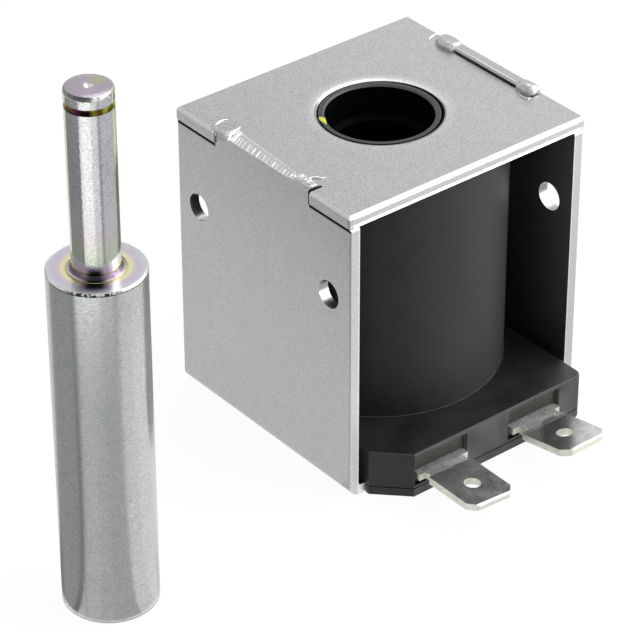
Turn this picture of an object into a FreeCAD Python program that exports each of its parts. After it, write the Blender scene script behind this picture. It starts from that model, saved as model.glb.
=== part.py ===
# Push pull solenoid: a bent sheet steel frame closed by a staked top plate, an
# encapsulated coil on a bobbin with two blade terminals, a fixed pole and a
# loose plunger that stands beside the frame, taken out of its bore.
# Millimetres. The origin is on the bore's axis at the frame's underside, +Z up.
# -Y is the open front with the terminals, -X the wall that faces the plunger.
import FreeCAD, Part
import math
import os
from FreeCAD import Vector

X = Vector(1, 0, 0)
Y = Vector(0, 1, 0)
Z = Vector(0, 0, 1)

# Frame and top plate
sheet = 1.25
frame_width = 32.5
frame_depth = 29.6
wall_height = 34.3
bend_inner_radius = 0.4
plate_thickness = 1.5
plate_overhang = 0.2
plate_corner_radius = 0.3
plate_edge_radius = 0.4
plate_lower_chamfer = 0.12
plate_hole_clearance = 0.2
plate_hole_dish_width = 0.75
plate_hole_dish_depth = 0.18
# Shares of the dish's width and depth that its section steps through
plate_hole_dish_steps = [(0.0, 1.0), (0.18, 0.5), (0.5, 0.16), (1.0, 0.0)]
sheared_edge_radius = 0.2
wall_corner_radius = 0.4
side_hole_diameter = 3.3
side_hole_pitch = 22.4
side_hole_height = 24.65

# Tongues of the frame in the plate's notches: the right one stands proud, the
# left one is hammered flush, and both are spread at their ends to hold the plate
tongue_length = 15.9
tongue_proud = 0.6
tongue_edge_chamfer = 0.15
tongue_end_drop = 0.5
notch_corner_radius = 0.35
corner_steps = 3
notch_end_gap = 0.15
notch_inner_gap = 0.3
hammered_rear_width = 2.05
hammered_front = -4.4
hammered_rear = 6.4
hammered_depth = 0.45
hammered_gap = 0.02
lump_sides = 22
lump_steps = 4
lump_squareness = 0.6
# Each spread lump: side, from y, to y, inner reach from the wall's inside, height,
# outward swell, radius at the top
spread_lumps = [
    (1, 4.9, 8.0, 0.65, 0.85, 0.2, 0.55),
    (1, -7.95, -5.2, 0.5, 0.95, 0.2, 0.8),
    (-1, 6.4, 9.0, 1.55, 0.25, 0.2, 0.2),
    (-1, -7.85, -4.8, 0.3, 0.3, 0.0, 0.25),
]

# Moving fit and the parts round the bore
plunger_diameter = 10.2
running_clearance = 0.08
sleeve_wall = 0.75
sleeve_gap = 0.07
sleeve_top_recess = 3.5
sleeve_lead_in = 0.45
barrel_wall = 0.65
barrel_rim_drop = 0.1
barrel_rim_chamfer = 0.2

# Bobbin, coil and cover
flange_top = 5.55
flange_side_gap = 0.95
flange_rear_gap = 0.5
flange_rear_chamfer = 2.0
block_front_reach = 4.1
block_frame_gap = 0.1
block_chamfer = 3.5
block_corner_radius = 1.0
block_edge_round = 0.25
top_flange_thickness = 1.5
top_flange_gap = 0.1
groove_level = 1.05
groove_width = 0.16
groove_depth = 0.12
pocket_depth = 0.55
pocket_top = 5.1
pocket_bottom = 1.4
pocket_inner_half = 3.0
pocket_outer_half = 10.5
cover_side_gap = 0.8
cover_top_chamfer = 0.3
cover_wall = 1.3
cover_gap = 0.05
tape_thickness = 0.25
layer_gap = 0.05

# Blade terminals and their leads
terminal_from_flange_side = 7.3
blade_width = 6.3
blade_thickness = 0.8
blade_level = 2.2
blade_reach = 8.8
blade_tip_chamfer_across = 1.0
blade_tip_chamfer_along = 1.1
blade_tip_bevel = 0.15
blade_hole_diameter = 1.9
blade_hole_from_tip = 3.7
near_blade_roll = 4.0
neck_width = 5.4
neck_start = 0.45
neck_length = 0.8
root_width = 6.9
root_depth = 1.6
far_blade_bend = 11.0
far_blade_bend_start = 2.1
tail_width = 2.4
tail_depth = 1.1
post_height = 2.0
post_wall = 0.6
slot_gap = 0.03
lead_diameter = 0.3
lead_channel = 0.7
lead_sides = 8
channel_sides = 4
lead_below_post_top = 0.4
lead_straight_run = 1.2
lead_in_winding = 1.2
start_turn_in = 0.9
finish_turn_in = 0.8
lead_side_share = 0.55

# Fixed pole and the washer on it
pole_top = 9.0
spigot_radius = 3.5
spigot_gap = 0.05
rod_hole_clearance = 0.3
washer_thickness = 0.5

# Plunger and where it stands
body_length = 40.5
rod_diameter = 5.0
rod_length = 20.2
rod_tip_chamfer = 0.45
rod_root_fillet = 0.45
root_steps = 3
groove_from_tip = 1.3
ring_groove_width = 0.7
ring_groove_diameter = 4.0
centre_dimple_radius = 0.45
body_edge_chamfer = 0.2
plunger_stand_left = 46.0
plunger_stand_front = 11.9

# Sizes that follow from those above
frame_height = wall_height + plate_thickness
half_width = frame_width / 2
half_depth = frame_depth / 2
wall_inner = half_width - sheet
flange_half_width = wall_inner - flange_side_gap
coil_outer_radius = wall_inner - cover_side_gap
bore_radius = plunger_diameter / 2 + running_clearance
sleeve_outer = bore_radius + sleeve_wall
barrel_inner = sleeve_outer + sleeve_gap
barrel_outer = barrel_inner + barrel_wall
barrel_top = frame_height - barrel_rim_drop
plate_hole_radius = barrel_outer + plate_hole_clearance
rod_hole_radius = rod_diameter / 2 + rod_hole_clearance
cover_top = wall_height - top_flange_gap
cover_inner = coil_outer_radius - cover_wall
top_flange_radius = cover_inner - cover_gap
winding_outer = top_flange_radius - tape_thickness - layer_gap
winding_bottom = flange_top + layer_gap
winding_top = cover_top - top_flange_thickness - layer_gap
block_front = -half_depth - block_front_reach
post_front = -half_depth - block_frame_gap - tail_depth - post_wall
standing_level = 0.0
terminal_offset = flange_half_width - terminal_from_flange_side
plunger_stand = (-plunger_stand_left, -plunger_stand_front)
# How far cutting shapes run past the part that they cut
past = 1.0


def box(x0, x1, y0, y1, z0, z1):
    return Part.makeBox(x1 - x0, y1 - y0, z1 - z0, Vector(x0, y0, z0))


def tube(inner, outer, z0, z1):
    return Part.makeCylinder(outer, z1 - z0, Vector(0, 0, z0)).cut(
        Part.makeCylinder(inner, z1 - z0, Vector(0, 0, z0)))


def prism(points, direction):
    """Solid from a closed outline of straight runs, pushed along direction."""
    wire = Part.makePolygon([Vector(*p) for p in points + points[:1]])
    return Part.Face(wire).extrude(direction)


def revolve(points, x=0.0, y=0.0):
    """Solid of revolution about the vertical through (x, y); points are (radius, z)."""
    outline = [Vector(x + r, y, z) for r, z in points]
    face = Part.Face(Part.makePolygon(outline + outline[:1]))
    return face.revolve(Vector(x, y, 0), Z, 360)


def round_edges(solid, radius, wanted):
    edges = [e for e in solid.Edges if wanted(e)]
    return solid.makeFillet(radius, edges)


def chamfer_edges(solid, size, wanted):
    edges = [e for e in solid.Edges if wanted(e)]
    return solid.makeChamfer(size, edges)


def is_vertical_at(edge, x, y, tolerance=0.01):
    box_ = edge.BoundBox
    flat = box_.XLength < tolerance and box_.YLength < tolerance
    return flat and abs(box_.XMin - x) < tolerance and abs(box_.YMin - y) < tolerance


def corner_arc(u, v, side_u, side_v, radius):
    """Stepped rounding of the corner (u, v), from the line u to the line v; the sides point into the shape."""
    points = []
    for step in range(corner_steps + 1):
        angle = math.pi / 2 * step / corner_steps
        points.append((u + side_u * radius * (1 - math.cos(angle)), v + side_v * radius * (1 - math.sin(angle))))
    return points


def bent_strip():
    """The U of the frame: a base and two walls with rounded bends."""
    ro = bend_inner_radius + sheet
    ri = bend_inner_radius
    c = math.sqrt(0.5)
    y = -half_depth
    hw = half_width
    top = wall_height

    def at(px, pz):
        return Vector(px, y, pz)

    outer_left = Part.Arc(at(-hw, ro), at(-hw + ro - ro * c, ro - ro * c), at(-hw + ro, 0))
    outer_right = Part.Arc(at(hw - ro, 0), at(hw - ro + ro * c, ro - ro * c), at(hw, ro))
    inner_left = Part.Arc(at(-hw + ro, sheet), at(-hw + ro - ri * c, ro - ri * c), at(-hw + sheet, ro))
    inner_right = Part.Arc(at(hw - sheet, ro), at(hw - ro + ri * c, ro - ri * c), at(hw - ro, sheet))
    runs = [
        Part.LineSegment(at(-hw, top), at(-hw, ro)),
        outer_left,
        Part.LineSegment(at(-hw + ro, 0), at(hw - ro, 0)),
        outer_right,
        Part.LineSegment(at(hw, ro), at(hw, top)),
        Part.LineSegment(at(hw, top), at(hw - sheet, top)),
        Part.LineSegment(at(hw - sheet, top), at(hw - sheet, ro)),
        inner_right,
        Part.LineSegment(at(hw - ro, sheet), at(-hw + ro, sheet)),
        inner_left,
        Part.LineSegment(at(-hw + sheet, ro), at(-hw + sheet, top)),
        Part.LineSegment(at(-hw + sheet, top), at(-hw, top)),
    ]
    wire = Part.Wire([run.toShape() for run in runs])
    strip = Part.Face(wire).extrude(Y * frame_depth)
    column = box(-hw, hw, -half_depth, half_depth, 0, top)
    column = round_edges(column, sheared_edge_radius, lambda e: e.BoundBox.ZLength > top - 0.01)
    # the walls' top corners, front and rear, are rounded over in side view
    front = corner_arc(-half_depth, top, 1, -1, wall_corner_radius)
    rear = corner_arc(half_depth, top, -1, -1, wall_corner_radius)
    outline = [(-half_depth, -past)] + front + rear[::-1] + [(half_depth, -past)]
    side = prism([(-hw - past, py, pz) for py, pz in outline], X * (frame_width + 2 * past))
    return strip.common(column).common(side)


def rounded_section(x0, x1, y0, y1, inset, z):
    """Level outline, between a box and an oval, for lofting a lump."""
    points = []
    for i in range(lump_sides + 1):
        turn = 2 * math.pi * i / lump_sides
        across = math.copysign(abs(math.cos(turn)) ** lump_squareness, math.cos(turn))
        along = math.copysign(abs(math.sin(turn)) ** lump_squareness, math.sin(turn))
        points.append(Vector((x0 + x1) / 2 + ((x1 - x0) / 2 - inset) * across,
                             (y0 + y1) / 2 + ((y1 - y0) / 2 - inset) * along, z))
    points[-1] = points[0]
    return Part.makePolygon(points)


def spread_lump(side, y0, y1, reach, height, swell, top_radius):
    """The spread end of a tongue: a rounded lump that holds the plate down."""
    top = frame_height + height
    x0 = wall_inner - reach
    x1 = half_width + swell
    sections = [rounded_section(x0, x1, y0, y1, 0, frame_height)]
    for step in range(lump_steps + 1):
        angle = math.pi / 2 * step / lump_steps
        inset = top_radius * (1 - math.cos(angle))
        sections.append(rounded_section(x0, x1, y0, y1, inset, top - top_radius * (1 - math.sin(angle))))
    lump = Part.makeLoft(sections, True, True)
    if side < 0:
        lump = lump.mirror(Vector(0, 0, 0), X)
    return lump


def hammered_pad(gap=0.0):
    """The left tongue's hammered face, wider at its rear; the plate's recess is larger by gap."""
    outer = -half_width - gap
    front = -wall_inner + gap
    rear = -half_width + hammered_rear_width + gap
    z = frame_height - hammered_depth
    return prism([(outer, hammered_front - gap, z), (front, hammered_front - gap, z),
                  (rear, hammered_rear + gap, z), (outer, hammered_rear + gap, z)], Z * hammered_depth)


def upright_block(inner, outer, y0, y1, z0, z1):
    """A box whose upright edges at inner are rounded, as punched tongues and notches are."""
    side = math.copysign(1, outer - inner)
    outline = corner_arc(inner, y0, side, 1, notch_corner_radius) + [(outer, y0), (outer, y1)]
    outline += corner_arc(inner, y1, side, -1, notch_corner_radius)[::-1]
    return prism([(x, y, z0) for x, y in outline], Z * (z1 - z0))


def tongue(side):
    half = tongue_length / 2
    return upright_block(side * wall_inner, side * half_width, -half, half, wall_height, frame_height)


def make_frame():
    body = bent_strip()
    half = tongue_length / 2
    right_top = frame_height + tongue_proud
    bar_half = half - tongue_end_drop
    bar = box(wall_inner, half_width, -bar_half, bar_half, wall_height, right_top)
    bar = chamfer_edges(bar, tongue_edge_chamfer, lambda e: e.BoundBox.ZMin > right_top - 0.01)
    right = tongue(1)
    left = chamfer_edges(tongue(-1), tongue_edge_chamfer,
                         lambda e: e.BoundBox.ZMin > frame_height - 0.01 and e.BoundBox.XMax < -half_width + 0.01)
    body = body.fuse([right, bar, left, hammered_pad()])
    body = body.fuse([spread_lump(*lump) for lump in spread_lumps])
    body = body.removeSplitter()
    for y in (-side_hole_pitch / 2, side_hole_pitch / 2):
        hole = Part.makeCylinder(side_hole_diameter / 2, frame_width + 2 * past,
                                 Vector(-half_width - past, y, side_hole_height), X)
        body = body.cut(hole)
    return body.cut(Part.makeCylinder(spigot_radius + spigot_gap, sheet + 2 * past, Vector(0, 0, -past)))


def make_top_plate():
    hx = half_width + plate_overhang
    plate = box(-hx, hx, -half_depth, half_depth, wall_height, frame_height)
    plate = round_edges(plate, plate_corner_radius, lambda e: e.BoundBox.ZLength > plate_thickness - 0.01)
    plate = round_edges(plate, plate_edge_radius, lambda e: e.BoundBox.ZMin > frame_height - 0.01)
    plate = chamfer_edges(plate, plate_lower_chamfer, lambda e: e.BoundBox.ZMax < wall_height + 0.01)
    half = tongue_length / 2
    low = wall_height - past
    top = frame_height + past
    right_notch = upright_block(wall_inner - notch_inner_gap, hx + past, -half - notch_end_gap,
                                half + notch_end_gap, low, top)
    left_notch = upright_block(-wall_inner + hammered_gap, -hx - past, -half - notch_end_gap,
                               half + hammered_gap, low, top)
    r = plate_hole_radius
    w = plate_hole_dish_width
    d = plate_hole_dish_depth
    dish = [(r + w * across, frame_height - d * down) for across, down in plate_hole_dish_steps]
    hole = revolve([(0, low), (r, low)] + dish + [(r + w, top), (0, top)])
    return plate.cut(Part.makeCompound([right_notch, left_notch, hammered_pad(hammered_gap), hole]))


def block_outline(inset=0.0):
    """Plan of the bobbin's base: flange inside the frame and block in front of it."""
    hw = flange_half_width - inset
    front = block_front + inset
    rear = half_depth - flange_rear_gap - inset
    rc = flange_rear_chamfer
    ch = block_chamfer - inset * (2 - math.sqrt(2))
    return [(-hw, rear - rc), (-hw + rc, rear), (hw - rc, rear), (hw, rear - rc),
            (hw, front), (-hw + ch, front), (-hw, front + ch)]


def terminal_slot(side):
    """The space in the block that a terminal's root, tail and post fill."""
    x = side * terminal_offset
    g = slot_gap
    z0 = blade_level - g
    z1 = blade_level + blade_thickness + g
    rear = post_front + tail_depth
    root = box(x - root_width / 2 - g, x + root_width / 2 + g, block_front - past, block_front + root_depth,
               z0, z1)
    tail = box(x - tail_width / 2 - g, x + tail_width / 2 + g, block_front, rear + g, z0, z1)
    post = box(x - tail_width / 2 - g, x + tail_width / 2 + g, post_front - g, rear + g,
               z0, z1 + post_height)
    return root.fuse([tail, post])


def lead_path(side):
    """Corner points of a lead: from the terminal's post, back to the coil and up."""
    x = side * terminal_offset
    start_radius = barrel_outer + start_turn_in if side < 0 else winding_outer - finish_turn_in
    level = blade_level + blade_thickness + post_height - lead_below_post_top
    rear = post_front + tail_depth
    end_x = x * lead_side_share
    end_y = -math.sqrt(start_radius ** 2 - end_x ** 2)
    return [Vector(x, rear, level), Vector(x, rear + lead_straight_run, level), Vector(end_x, end_y, level),
            Vector(end_x, end_y, flange_top)]


def swept_bar(points, radius, sides):
    """A bar with a regular section that follows a path with mitred corners; it starts along +Y."""
    turn = 2 * math.pi / sides
    ring = []
    for i in range(sides + 1):
        angle = turn * (i + 0.5)
        ring.append(points[0] + Vector(radius * math.cos(angle), 0, radius * math.sin(angle)))
    spine = Part.makePolygon(points)
    return spine.makePipeShell([Part.makePolygon(ring)], True, False, 1)


def make_bobbin():
    outline = [(x, y, sheet) for x, y in block_outline()]
    base = prism(outline, Z * (flange_top - sheet))
    hooked = [(x, y, standing_level) for x, y in block_outline()]
    hook = prism(hooked, Z * (flange_top - standing_level))
    rear_limit = -half_depth - block_frame_gap
    hook = hook.common(box(-half_width, half_width, block_front - past, rear_limit, standing_level - past, flange_top))
    base = base.fuse(hook).removeSplitter()
    base = round_edges(base, block_corner_radius,
                       lambda e: is_vertical_at(e, flange_half_width, block_front))

    def soft_edge(edge):
        b = edge.BoundBox
        level = b.ZLength < 0.01
        high = abs(b.ZMin - flange_top) < 0.01
        return level and high and b.YMax < -half_depth + 0.01 + block_front_reach and b.YMin < rear_limit

    base = round_edges(base, block_edge_round, soft_edge)
    barrel = tube(barrel_inner, barrel_outer, sheet, barrel_top)
    top_flange = tube(barrel_inner, top_flange_radius, cover_top - top_flange_thickness, cover_top)
    body = base.cut(Part.makeCylinder(barrel_inner, flange_top, Vector(0, 0, sheet)))
    body = body.fuse([barrel, top_flange]).removeSplitter()
    c = barrel_rim_chamfer
    lead_in = revolve([(0, barrel_top + c), (0, barrel_top - c), (barrel_inner, barrel_top - c),
                       (barrel_inner + 2 * c, barrel_top + c)])
    cuts = [lead_in]
    outside = block_outline(-past)
    low = groove_level - groove_width
    ring = prism([(x, y, groove_level - groove_width / 2) for x, y in outside], Z * groove_width)
    core = prism([(x, y, low) for x, y in block_outline(groove_depth)], Z * 2 * groove_width)
    cuts.append(ring.cut(core))
    for side in (-1, 1):
        inner = side * pocket_inner_half
        outer = side * pocket_outer_half
        cuts.append(box(min(inner, outer), max(inner, outer), block_front - past, block_front + pocket_depth,
                        pocket_bottom, pocket_top))
        cuts.append(terminal_slot(side))
        path = lead_path(side)
        path[-1] = path[-1] + Z
        cuts.append(swept_bar(path, lead_channel / 2, channel_sides))
    return body.cut(Part.makeCompound(cuts))


def make_cover():
    c = cover_top_chamfer
    return revolve([(cover_inner, flange_top), (coil_outer_radius, flange_top), (coil_outer_radius, cover_top - c),
                    (coil_outer_radius - c, cover_top), (cover_inner, cover_top)])


def make_winding():
    coil = tube(barrel_outer + layer_gap, winding_outer, winding_bottom, winding_top)
    pockets = []
    for side in (-1, 1):
        end = lead_path(side)[-1]
        h = lead_channel / 2
        pockets.append(box(end.x - h, end.x + h, end.y - h, end.y + h, flange_top, flange_top + lead_in_winding))
    return coil.cut(Part.makeCompound(pockets))


def make_lead(side):
    path = lead_path(side)
    path[-1] = path[-1] + Z * lead_in_winding
    return swept_bar(path, lead_diameter / 2, lead_sides)


def blade_section(x, y, half):
    """Closed outline across a terminal at y, for lofting."""
    z0 = blade_level
    z1 = blade_level + blade_thickness
    corners = [(x - half, z0), (x + half, z0), (x + half, z1), (x - half, z1), (x - half, z0)]
    return Part.makePolygon([Vector(px, y, pz) for px, pz in corners])


def flat_blade(x, neck_end):
    """The blade that takes the connector: shoulders, tip chamfers, bevelled tip and hole."""
    tip = block_front - blade_reach
    neck = neck_width / 2
    half = blade_width / 2
    shoulder = half - neck
    right = [(neck, neck_end), (half, neck_end - shoulder), (half, tip + blade_tip_chamfer_along),
             (half - blade_tip_chamfer_across, tip)]
    left = [(-px, py) for px, py in reversed(right)]
    blade = prism([(x + px, py, blade_level) for px, py in right + left], Z * blade_thickness)
    for level, direction in ((blade_level, 1), (blade_level + blade_thickness, -1)):
        bevel = prism([(x - blade_width, tip, level), (x - blade_width, tip + 2 * blade_tip_bevel, level),
                       (x - blade_width, tip, level + direction * blade_tip_bevel)], X * 2 * blade_width)
        blade = blade.cut(bevel)
    hole = Part.makeCylinder(blade_hole_diameter / 2, 3 * blade_thickness,
                             Vector(x, tip + blade_hole_from_tip, blade_level - blade_thickness))
    return blade.cut(hole)


def make_terminal(side):
    """Root, neck and blade outside the block, tail and post for the lead inside it."""
    x = side * terminal_offset
    top = blade_level + blade_thickness
    rear = post_front + tail_depth
    root_end = block_front - neck_start
    neck_end = root_end - neck_length
    blade = flat_blade(x, neck_end)
    end_section = blade_section(x, neck_end, neck_width / 2)
    if side < 0:
        middle = Vector(x, neck_end, blade_level + blade_thickness / 2)
        blade.rotate(middle, Y, near_blade_roll)
        end_section.rotate(middle, Y, near_blade_roll)
    else:
        blade = bend_outer_end(blade, x)
    neck = Part.makeLoft([blade_section(x, root_end, neck_width / 2), end_section], True, True)
    root = box(x - root_width / 2, x + root_width / 2, root_end, block_front + root_depth, blade_level, top)
    tail = box(x - tail_width / 2, x + tail_width / 2, block_front, rear, blade_level, top)
    post = box(x - tail_width / 2, x + tail_width / 2, post_front, rear, blade_level, top + post_height)
    return root.fuse([tail, post, neck, blade]).removeSplitter()


def bend_outer_end(blade, x):
    """Bend the far terminal upwards: the outer part turns about a line across it."""
    start = block_front - far_blade_bend_start
    reach = 2 * blade_reach
    outer = blade.common(box(x - reach, x + reach, start - reach, start, -reach, reach))
    inner = blade.common(box(x - reach, x + reach, start, start + reach, -reach, reach))
    pivot = Vector(x, start, blade_level + blade_thickness)
    outer.rotate(pivot, X, -far_blade_bend)
    section = Part.Face(blade_section(x, start, blade_width / 2))
    wedge = section.revolve(pivot, X, -far_blade_bend)
    return inner.fuse([wedge, outer]).removeSplitter()


def make_sleeve():
    foot = pole_top + washer_thickness
    top = barrel_top - sleeve_top_recess
    return revolve([(bore_radius, foot), (sleeve_outer, foot), (sleeve_outer, top),
                    (bore_radius + sleeve_lead_in, top), (bore_radius, top - sleeve_lead_in)])


def make_pole():
    return revolve([(rod_hole_radius, 0), (spigot_radius, 0), (spigot_radius, sheet), (sleeve_outer, sheet),
                    (sleeve_outer, pole_top), (rod_hole_radius, pole_top)])


def make_washer():
    return tube(rod_hole_radius, sleeve_outer, pole_top, pole_top + washer_thickness)


def make_plunger():
    foot = standing_level
    shoulder = foot + body_length
    tip = shoulder + rod_length
    r = plunger_diameter / 2
    rod = rod_diameter / 2
    c = body_edge_chamfer
    g1 = tip - groove_from_tip
    g0 = g1 - ring_groove_width
    groove = ring_groove_diameter / 2
    d = centre_dimple_radius
    profile = [(0, foot), (r - c, foot), (r, foot + c), (r, shoulder - c), (r - c, shoulder)]
    for step in range(root_steps + 1):
        angle = math.pi / 2 * step / root_steps
        profile.append((rod + rod_root_fillet * (1 - math.sin(angle)),
                        shoulder + rod_root_fillet * (1 - math.cos(angle))))
    profile += [(rod, g0), (groove, g0), (groove, g1), (rod, g1), (rod, tip - rod_tip_chamfer),
                (rod - rod_tip_chamfer, tip), (d, tip), (0, tip - d)]
    return revolve(profile, *plunger_stand)


def make_tape():
    return tube(winding_outer + layer_gap / 2, winding_outer + layer_gap / 2 + tape_thickness,
                winding_bottom, winding_top)


parts = {
    "frame": make_frame,
    "top_plate": make_top_plate,
    "bobbin": make_bobbin,
    "winding": make_winding,
    "winding_tape": make_tape,
    "coil_cover": make_cover,
    "guide_sleeve": make_sleeve,
    "pole_piece": make_pole,
    "residual_washer": make_washer,
    "terminal_left": lambda: make_terminal(-1),
    "terminal_right": lambda: make_terminal(1),
    "start_lead": lambda: make_lead(-1),
    "finish_lead": lambda: make_lead(1),
    "plunger": make_plunger,
}

os.makedirs("parts", exist_ok=True)
for name, make in parts.items():
    shape = make()
    solids = shape.Solids
    if len(solids) == 1:
        shape = solids[0]
    shape.exportStep("parts/" + name + ".step")
    print(name, "solids", len(solids), "valid", shape.isValid(), "volume", round(shape.Volume, 2))
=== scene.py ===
import math

import bmesh
import bpy
import numpy as np
from mathutils import Matrix, Vector, noise


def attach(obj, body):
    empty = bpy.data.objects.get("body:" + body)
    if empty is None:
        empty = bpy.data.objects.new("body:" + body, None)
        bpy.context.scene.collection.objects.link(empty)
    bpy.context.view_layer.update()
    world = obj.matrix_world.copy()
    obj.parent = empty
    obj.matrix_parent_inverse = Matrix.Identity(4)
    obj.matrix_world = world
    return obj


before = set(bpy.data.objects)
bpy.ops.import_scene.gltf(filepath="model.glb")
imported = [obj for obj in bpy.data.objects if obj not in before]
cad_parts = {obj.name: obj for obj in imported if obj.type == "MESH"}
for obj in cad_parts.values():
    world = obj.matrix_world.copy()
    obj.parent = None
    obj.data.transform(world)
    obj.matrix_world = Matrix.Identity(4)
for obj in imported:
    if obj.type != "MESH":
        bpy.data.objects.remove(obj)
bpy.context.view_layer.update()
print("stage: frame loaded, nodes", len(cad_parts))

mm = 0.001
topLevel = 35.8        # top of the plate
standLevel = 0.0       # the surface that the block and the plunger stand on
plungerAxis = (-46.0, -11.9)
shoulderLevel = 40.5   # top of the plunger's thick body
# seen from above: towards the photo's camera, away from it and to its right
towardsPhoto, awayFromPhoto, photoRight = (-0.629, -0.777), (0.629, 0.777), (0.777, -0.63)


# Small helpers for node trees

def fillInputs(tree, node, values):
    # a socket is linked, anything else is set
    for name, value in values.items():
        if isinstance(value, bpy.types.NodeSocket):
            tree.links.new(value, node.inputs[name])
        else:
            node.inputs[name].default_value = value


def addNode(tree, kind, values=None, **settings):
    node = tree.nodes.new(kind)
    for name, value in settings.items():
        setattr(node, name, value)
    fillInputs(tree, node, values or {})
    return node


def mathNode(tree, operation, a, b=0.0, clamp=False):
    return addNode(tree, "ShaderNodeMath", {0: a, 1: b}, operation=operation, use_clamp=clamp).outputs[0]


def product(tree, first, *others):
    for other in others:
        first = mathNode(tree, "MULTIPLY", first, other)
    return first


def total(tree, first, *others):
    for other in others:
        first = mathNode(tree, "ADD", first, other)
    return first


def minus(tree, first, second):
    return mathNode(tree, "SUBTRACT", first, second)


def over(tree, value, limit):
    return mathNode(tree, "GREATER_THAN", value, limit)


def under(tree, value, limit):
    return mathNode(tree, "LESS_THAN", value, limit)


def sizeOf(tree, value):
    return mathNode(tree, "ABSOLUTE", value)


def larger(tree, first, second):
    return mathNode(tree, "MAXIMUM", first, second)


def distance(tree, x, y):
    return mathNode(tree, "SQRT", total(tree, product(tree, x, x), product(tree, y, y)))


def alongDirection(tree, x, y, direction):
    return total(tree, product(tree, x, direction[0]), product(tree, y, direction[1]))


def rangeNode(tree, value, low, high, toLow=0.0, toHigh=1.0):
    return addNode(tree, "ShaderNodeMapRange", {"Value": value, "From Min": low, "From Max": high,
                                                "To Min": toLow, "To Max": toHigh}).outputs["Result"]


def mixColour(tree, share, first, second):
    node = addNode(tree, "ShaderNodeMix", {"Factor": share, 6: first, 7: second}, data_type="RGBA")
    return node.outputs[2]


def noiseNode(tree, scale, detail, distortion=0.0):
    place = addNode(tree, "ShaderNodeTexCoord").outputs["Object"]
    return addNode(tree, "ShaderNodeTexNoise", {"Vector": place, "Scale": scale, "Detail": detail,
                                                "Distortion": distortion}).outputs["Fac"]


def scaleColour(tree, colour, factor):
    # works on places too
    return addNode(tree, "ShaderNodeVectorMath", {0: colour, "Scale": factor}, operation="SCALE").outputs[0]


def rampNode(tree, value, stops):
    # colours at places from 0 to 1
    node = addNode(tree, "ShaderNodeValToRGB", {"Fac": value})
    ramp = node.color_ramp
    while len(ramp.elements) > 1:
        ramp.elements.remove(ramp.elements[-1])
    for index, (place, colour) in enumerate(stops):
        element = ramp.elements[0] if index == 0 else ramp.elements.new(place)
        element.position = place
        element.color = (*colour, 1)
    return node.outputs["Color"]


def placeParts(tree):
    # object place in mm and the surface's normal, split in their three parts
    place = addNode(tree, "ShaderNodeTexCoord").outputs["Object"]
    scaled = scaleColour(tree, place, 1 / mm)
    normal = addNode(tree, "ShaderNodeNewGeometry").outputs["Normal"]
    return (addNode(tree, "ShaderNodeSeparateXYZ", {"Vector": scaled}).outputs,
            addNode(tree, "ShaderNodeSeparateXYZ", {"Vector": normal}).outputs)


def newGroup(name, inputs, outputs):
    tree = bpy.data.node_groups.new(name, "ShaderNodeTree")
    for socketName, kind, value in inputs:
        socket = tree.interface.new_socket(name=socketName, in_out="INPUT", socket_type=kind)
        socket.default_value = value
    for socketName, kind in outputs:
        tree.interface.new_socket(name=socketName, in_out="OUTPUT", socket_type=kind)
    return tree, tree.nodes.new("NodeGroupInput").outputs, tree.nodes.new("NodeGroupOutput").inputs


def useGroup(tree, group, values):
    return addNode(tree, "ShaderNodeGroup", values, node_tree=group).outputs


# Effects that several materials share

def makeGrainGroup():
    # plating grain: fine crystals over soft clouds
    tree, given, result = newGroup(
        "platingGrain",
        [("Fine Scale", "NodeSocketFloat", 9000.0), ("Cloud Scale", "NodeSocketFloat", 500.0),
         ("Cloud Share", "NodeSocketFloat", 0.4)],
        [("Shade", "NodeSocketFloat"), ("Height", "NodeSocketFloat")])
    place = addNode(tree, "ShaderNodeTexCoord").outputs["Object"]
    fine = noiseNode(tree, given["Fine Scale"], 3.0)
    cells = addNode(tree, "ShaderNodeTexVoronoi", {"Vector": place, "Scale": given["Fine Scale"]})
    cloud = noiseNode(tree, given["Cloud Scale"], 2.0)
    speck = product(tree, rangeNode(tree, cells.outputs["Distance"], 0.0, 0.7), 0.35)
    small = total(tree, product(tree, fine, 0.65), speck)
    blend = addNode(tree, "ShaderNodeMix", {"Factor": given["Cloud Share"], 2: small, 3: cloud})
    tree.links.new(blend.outputs[0], result["Shade"])
    tree.links.new(small, result["Height"])
    return tree


def makeEdgeGroup():
    # where the surface turns a corner within the radius
    tree, given, result = newGroup(
        "edgeMask",
        [("Radius", "NodeSocketFloat", 0.0003), ("Strength", "NodeSocketFloat", 4.0),
         ("Break Scale", "NodeSocketFloat", 3000.0)],
        [("Mask", "NodeSocketFloat")])
    bevel = addNode(tree, "ShaderNodeBevel", {"Radius": given["Radius"]}, samples=6)
    normal = addNode(tree, "ShaderNodeNewGeometry").outputs["Normal"]
    dot = addNode(tree, "ShaderNodeVectorMath", {0: bevel.outputs["Normal"], 1: normal},
                  operation="DOT_PRODUCT").outputs["Value"]
    turned = product(tree, minus(tree, 1.0, dot), given["Strength"])
    broken = noiseNode(tree, given["Break Scale"], 2.0)
    worn = mathNode(tree, "MULTIPLY", turned, rangeNode(tree, broken, 0.3, 0.6, 0.3, 1.0), clamp=True)
    tree.links.new(worn, result["Mask"])
    return tree


def makeDustGroup():
    # sparse light specks
    tree, given, result = newGroup(
        "dustSpecks",
        [("Scale", "NodeSocketFloat", 1500.0), ("Size", "NodeSocketFloat", 0.12)],
        [("Mask", "NodeSocketFloat")])
    place = addNode(tree, "ShaderNodeTexCoord").outputs["Object"]
    cells = addNode(tree, "ShaderNodeTexVoronoi", {"Vector": place, "Scale": given["Scale"]})
    pick = noiseNode(tree, 420.0, 2.0)
    near = under(tree, cells.outputs["Distance"], given["Size"])
    chosen = over(tree, pick, 0.55)
    tree.links.new(product(tree, near, chosen), result["Mask"])
    return tree


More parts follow.
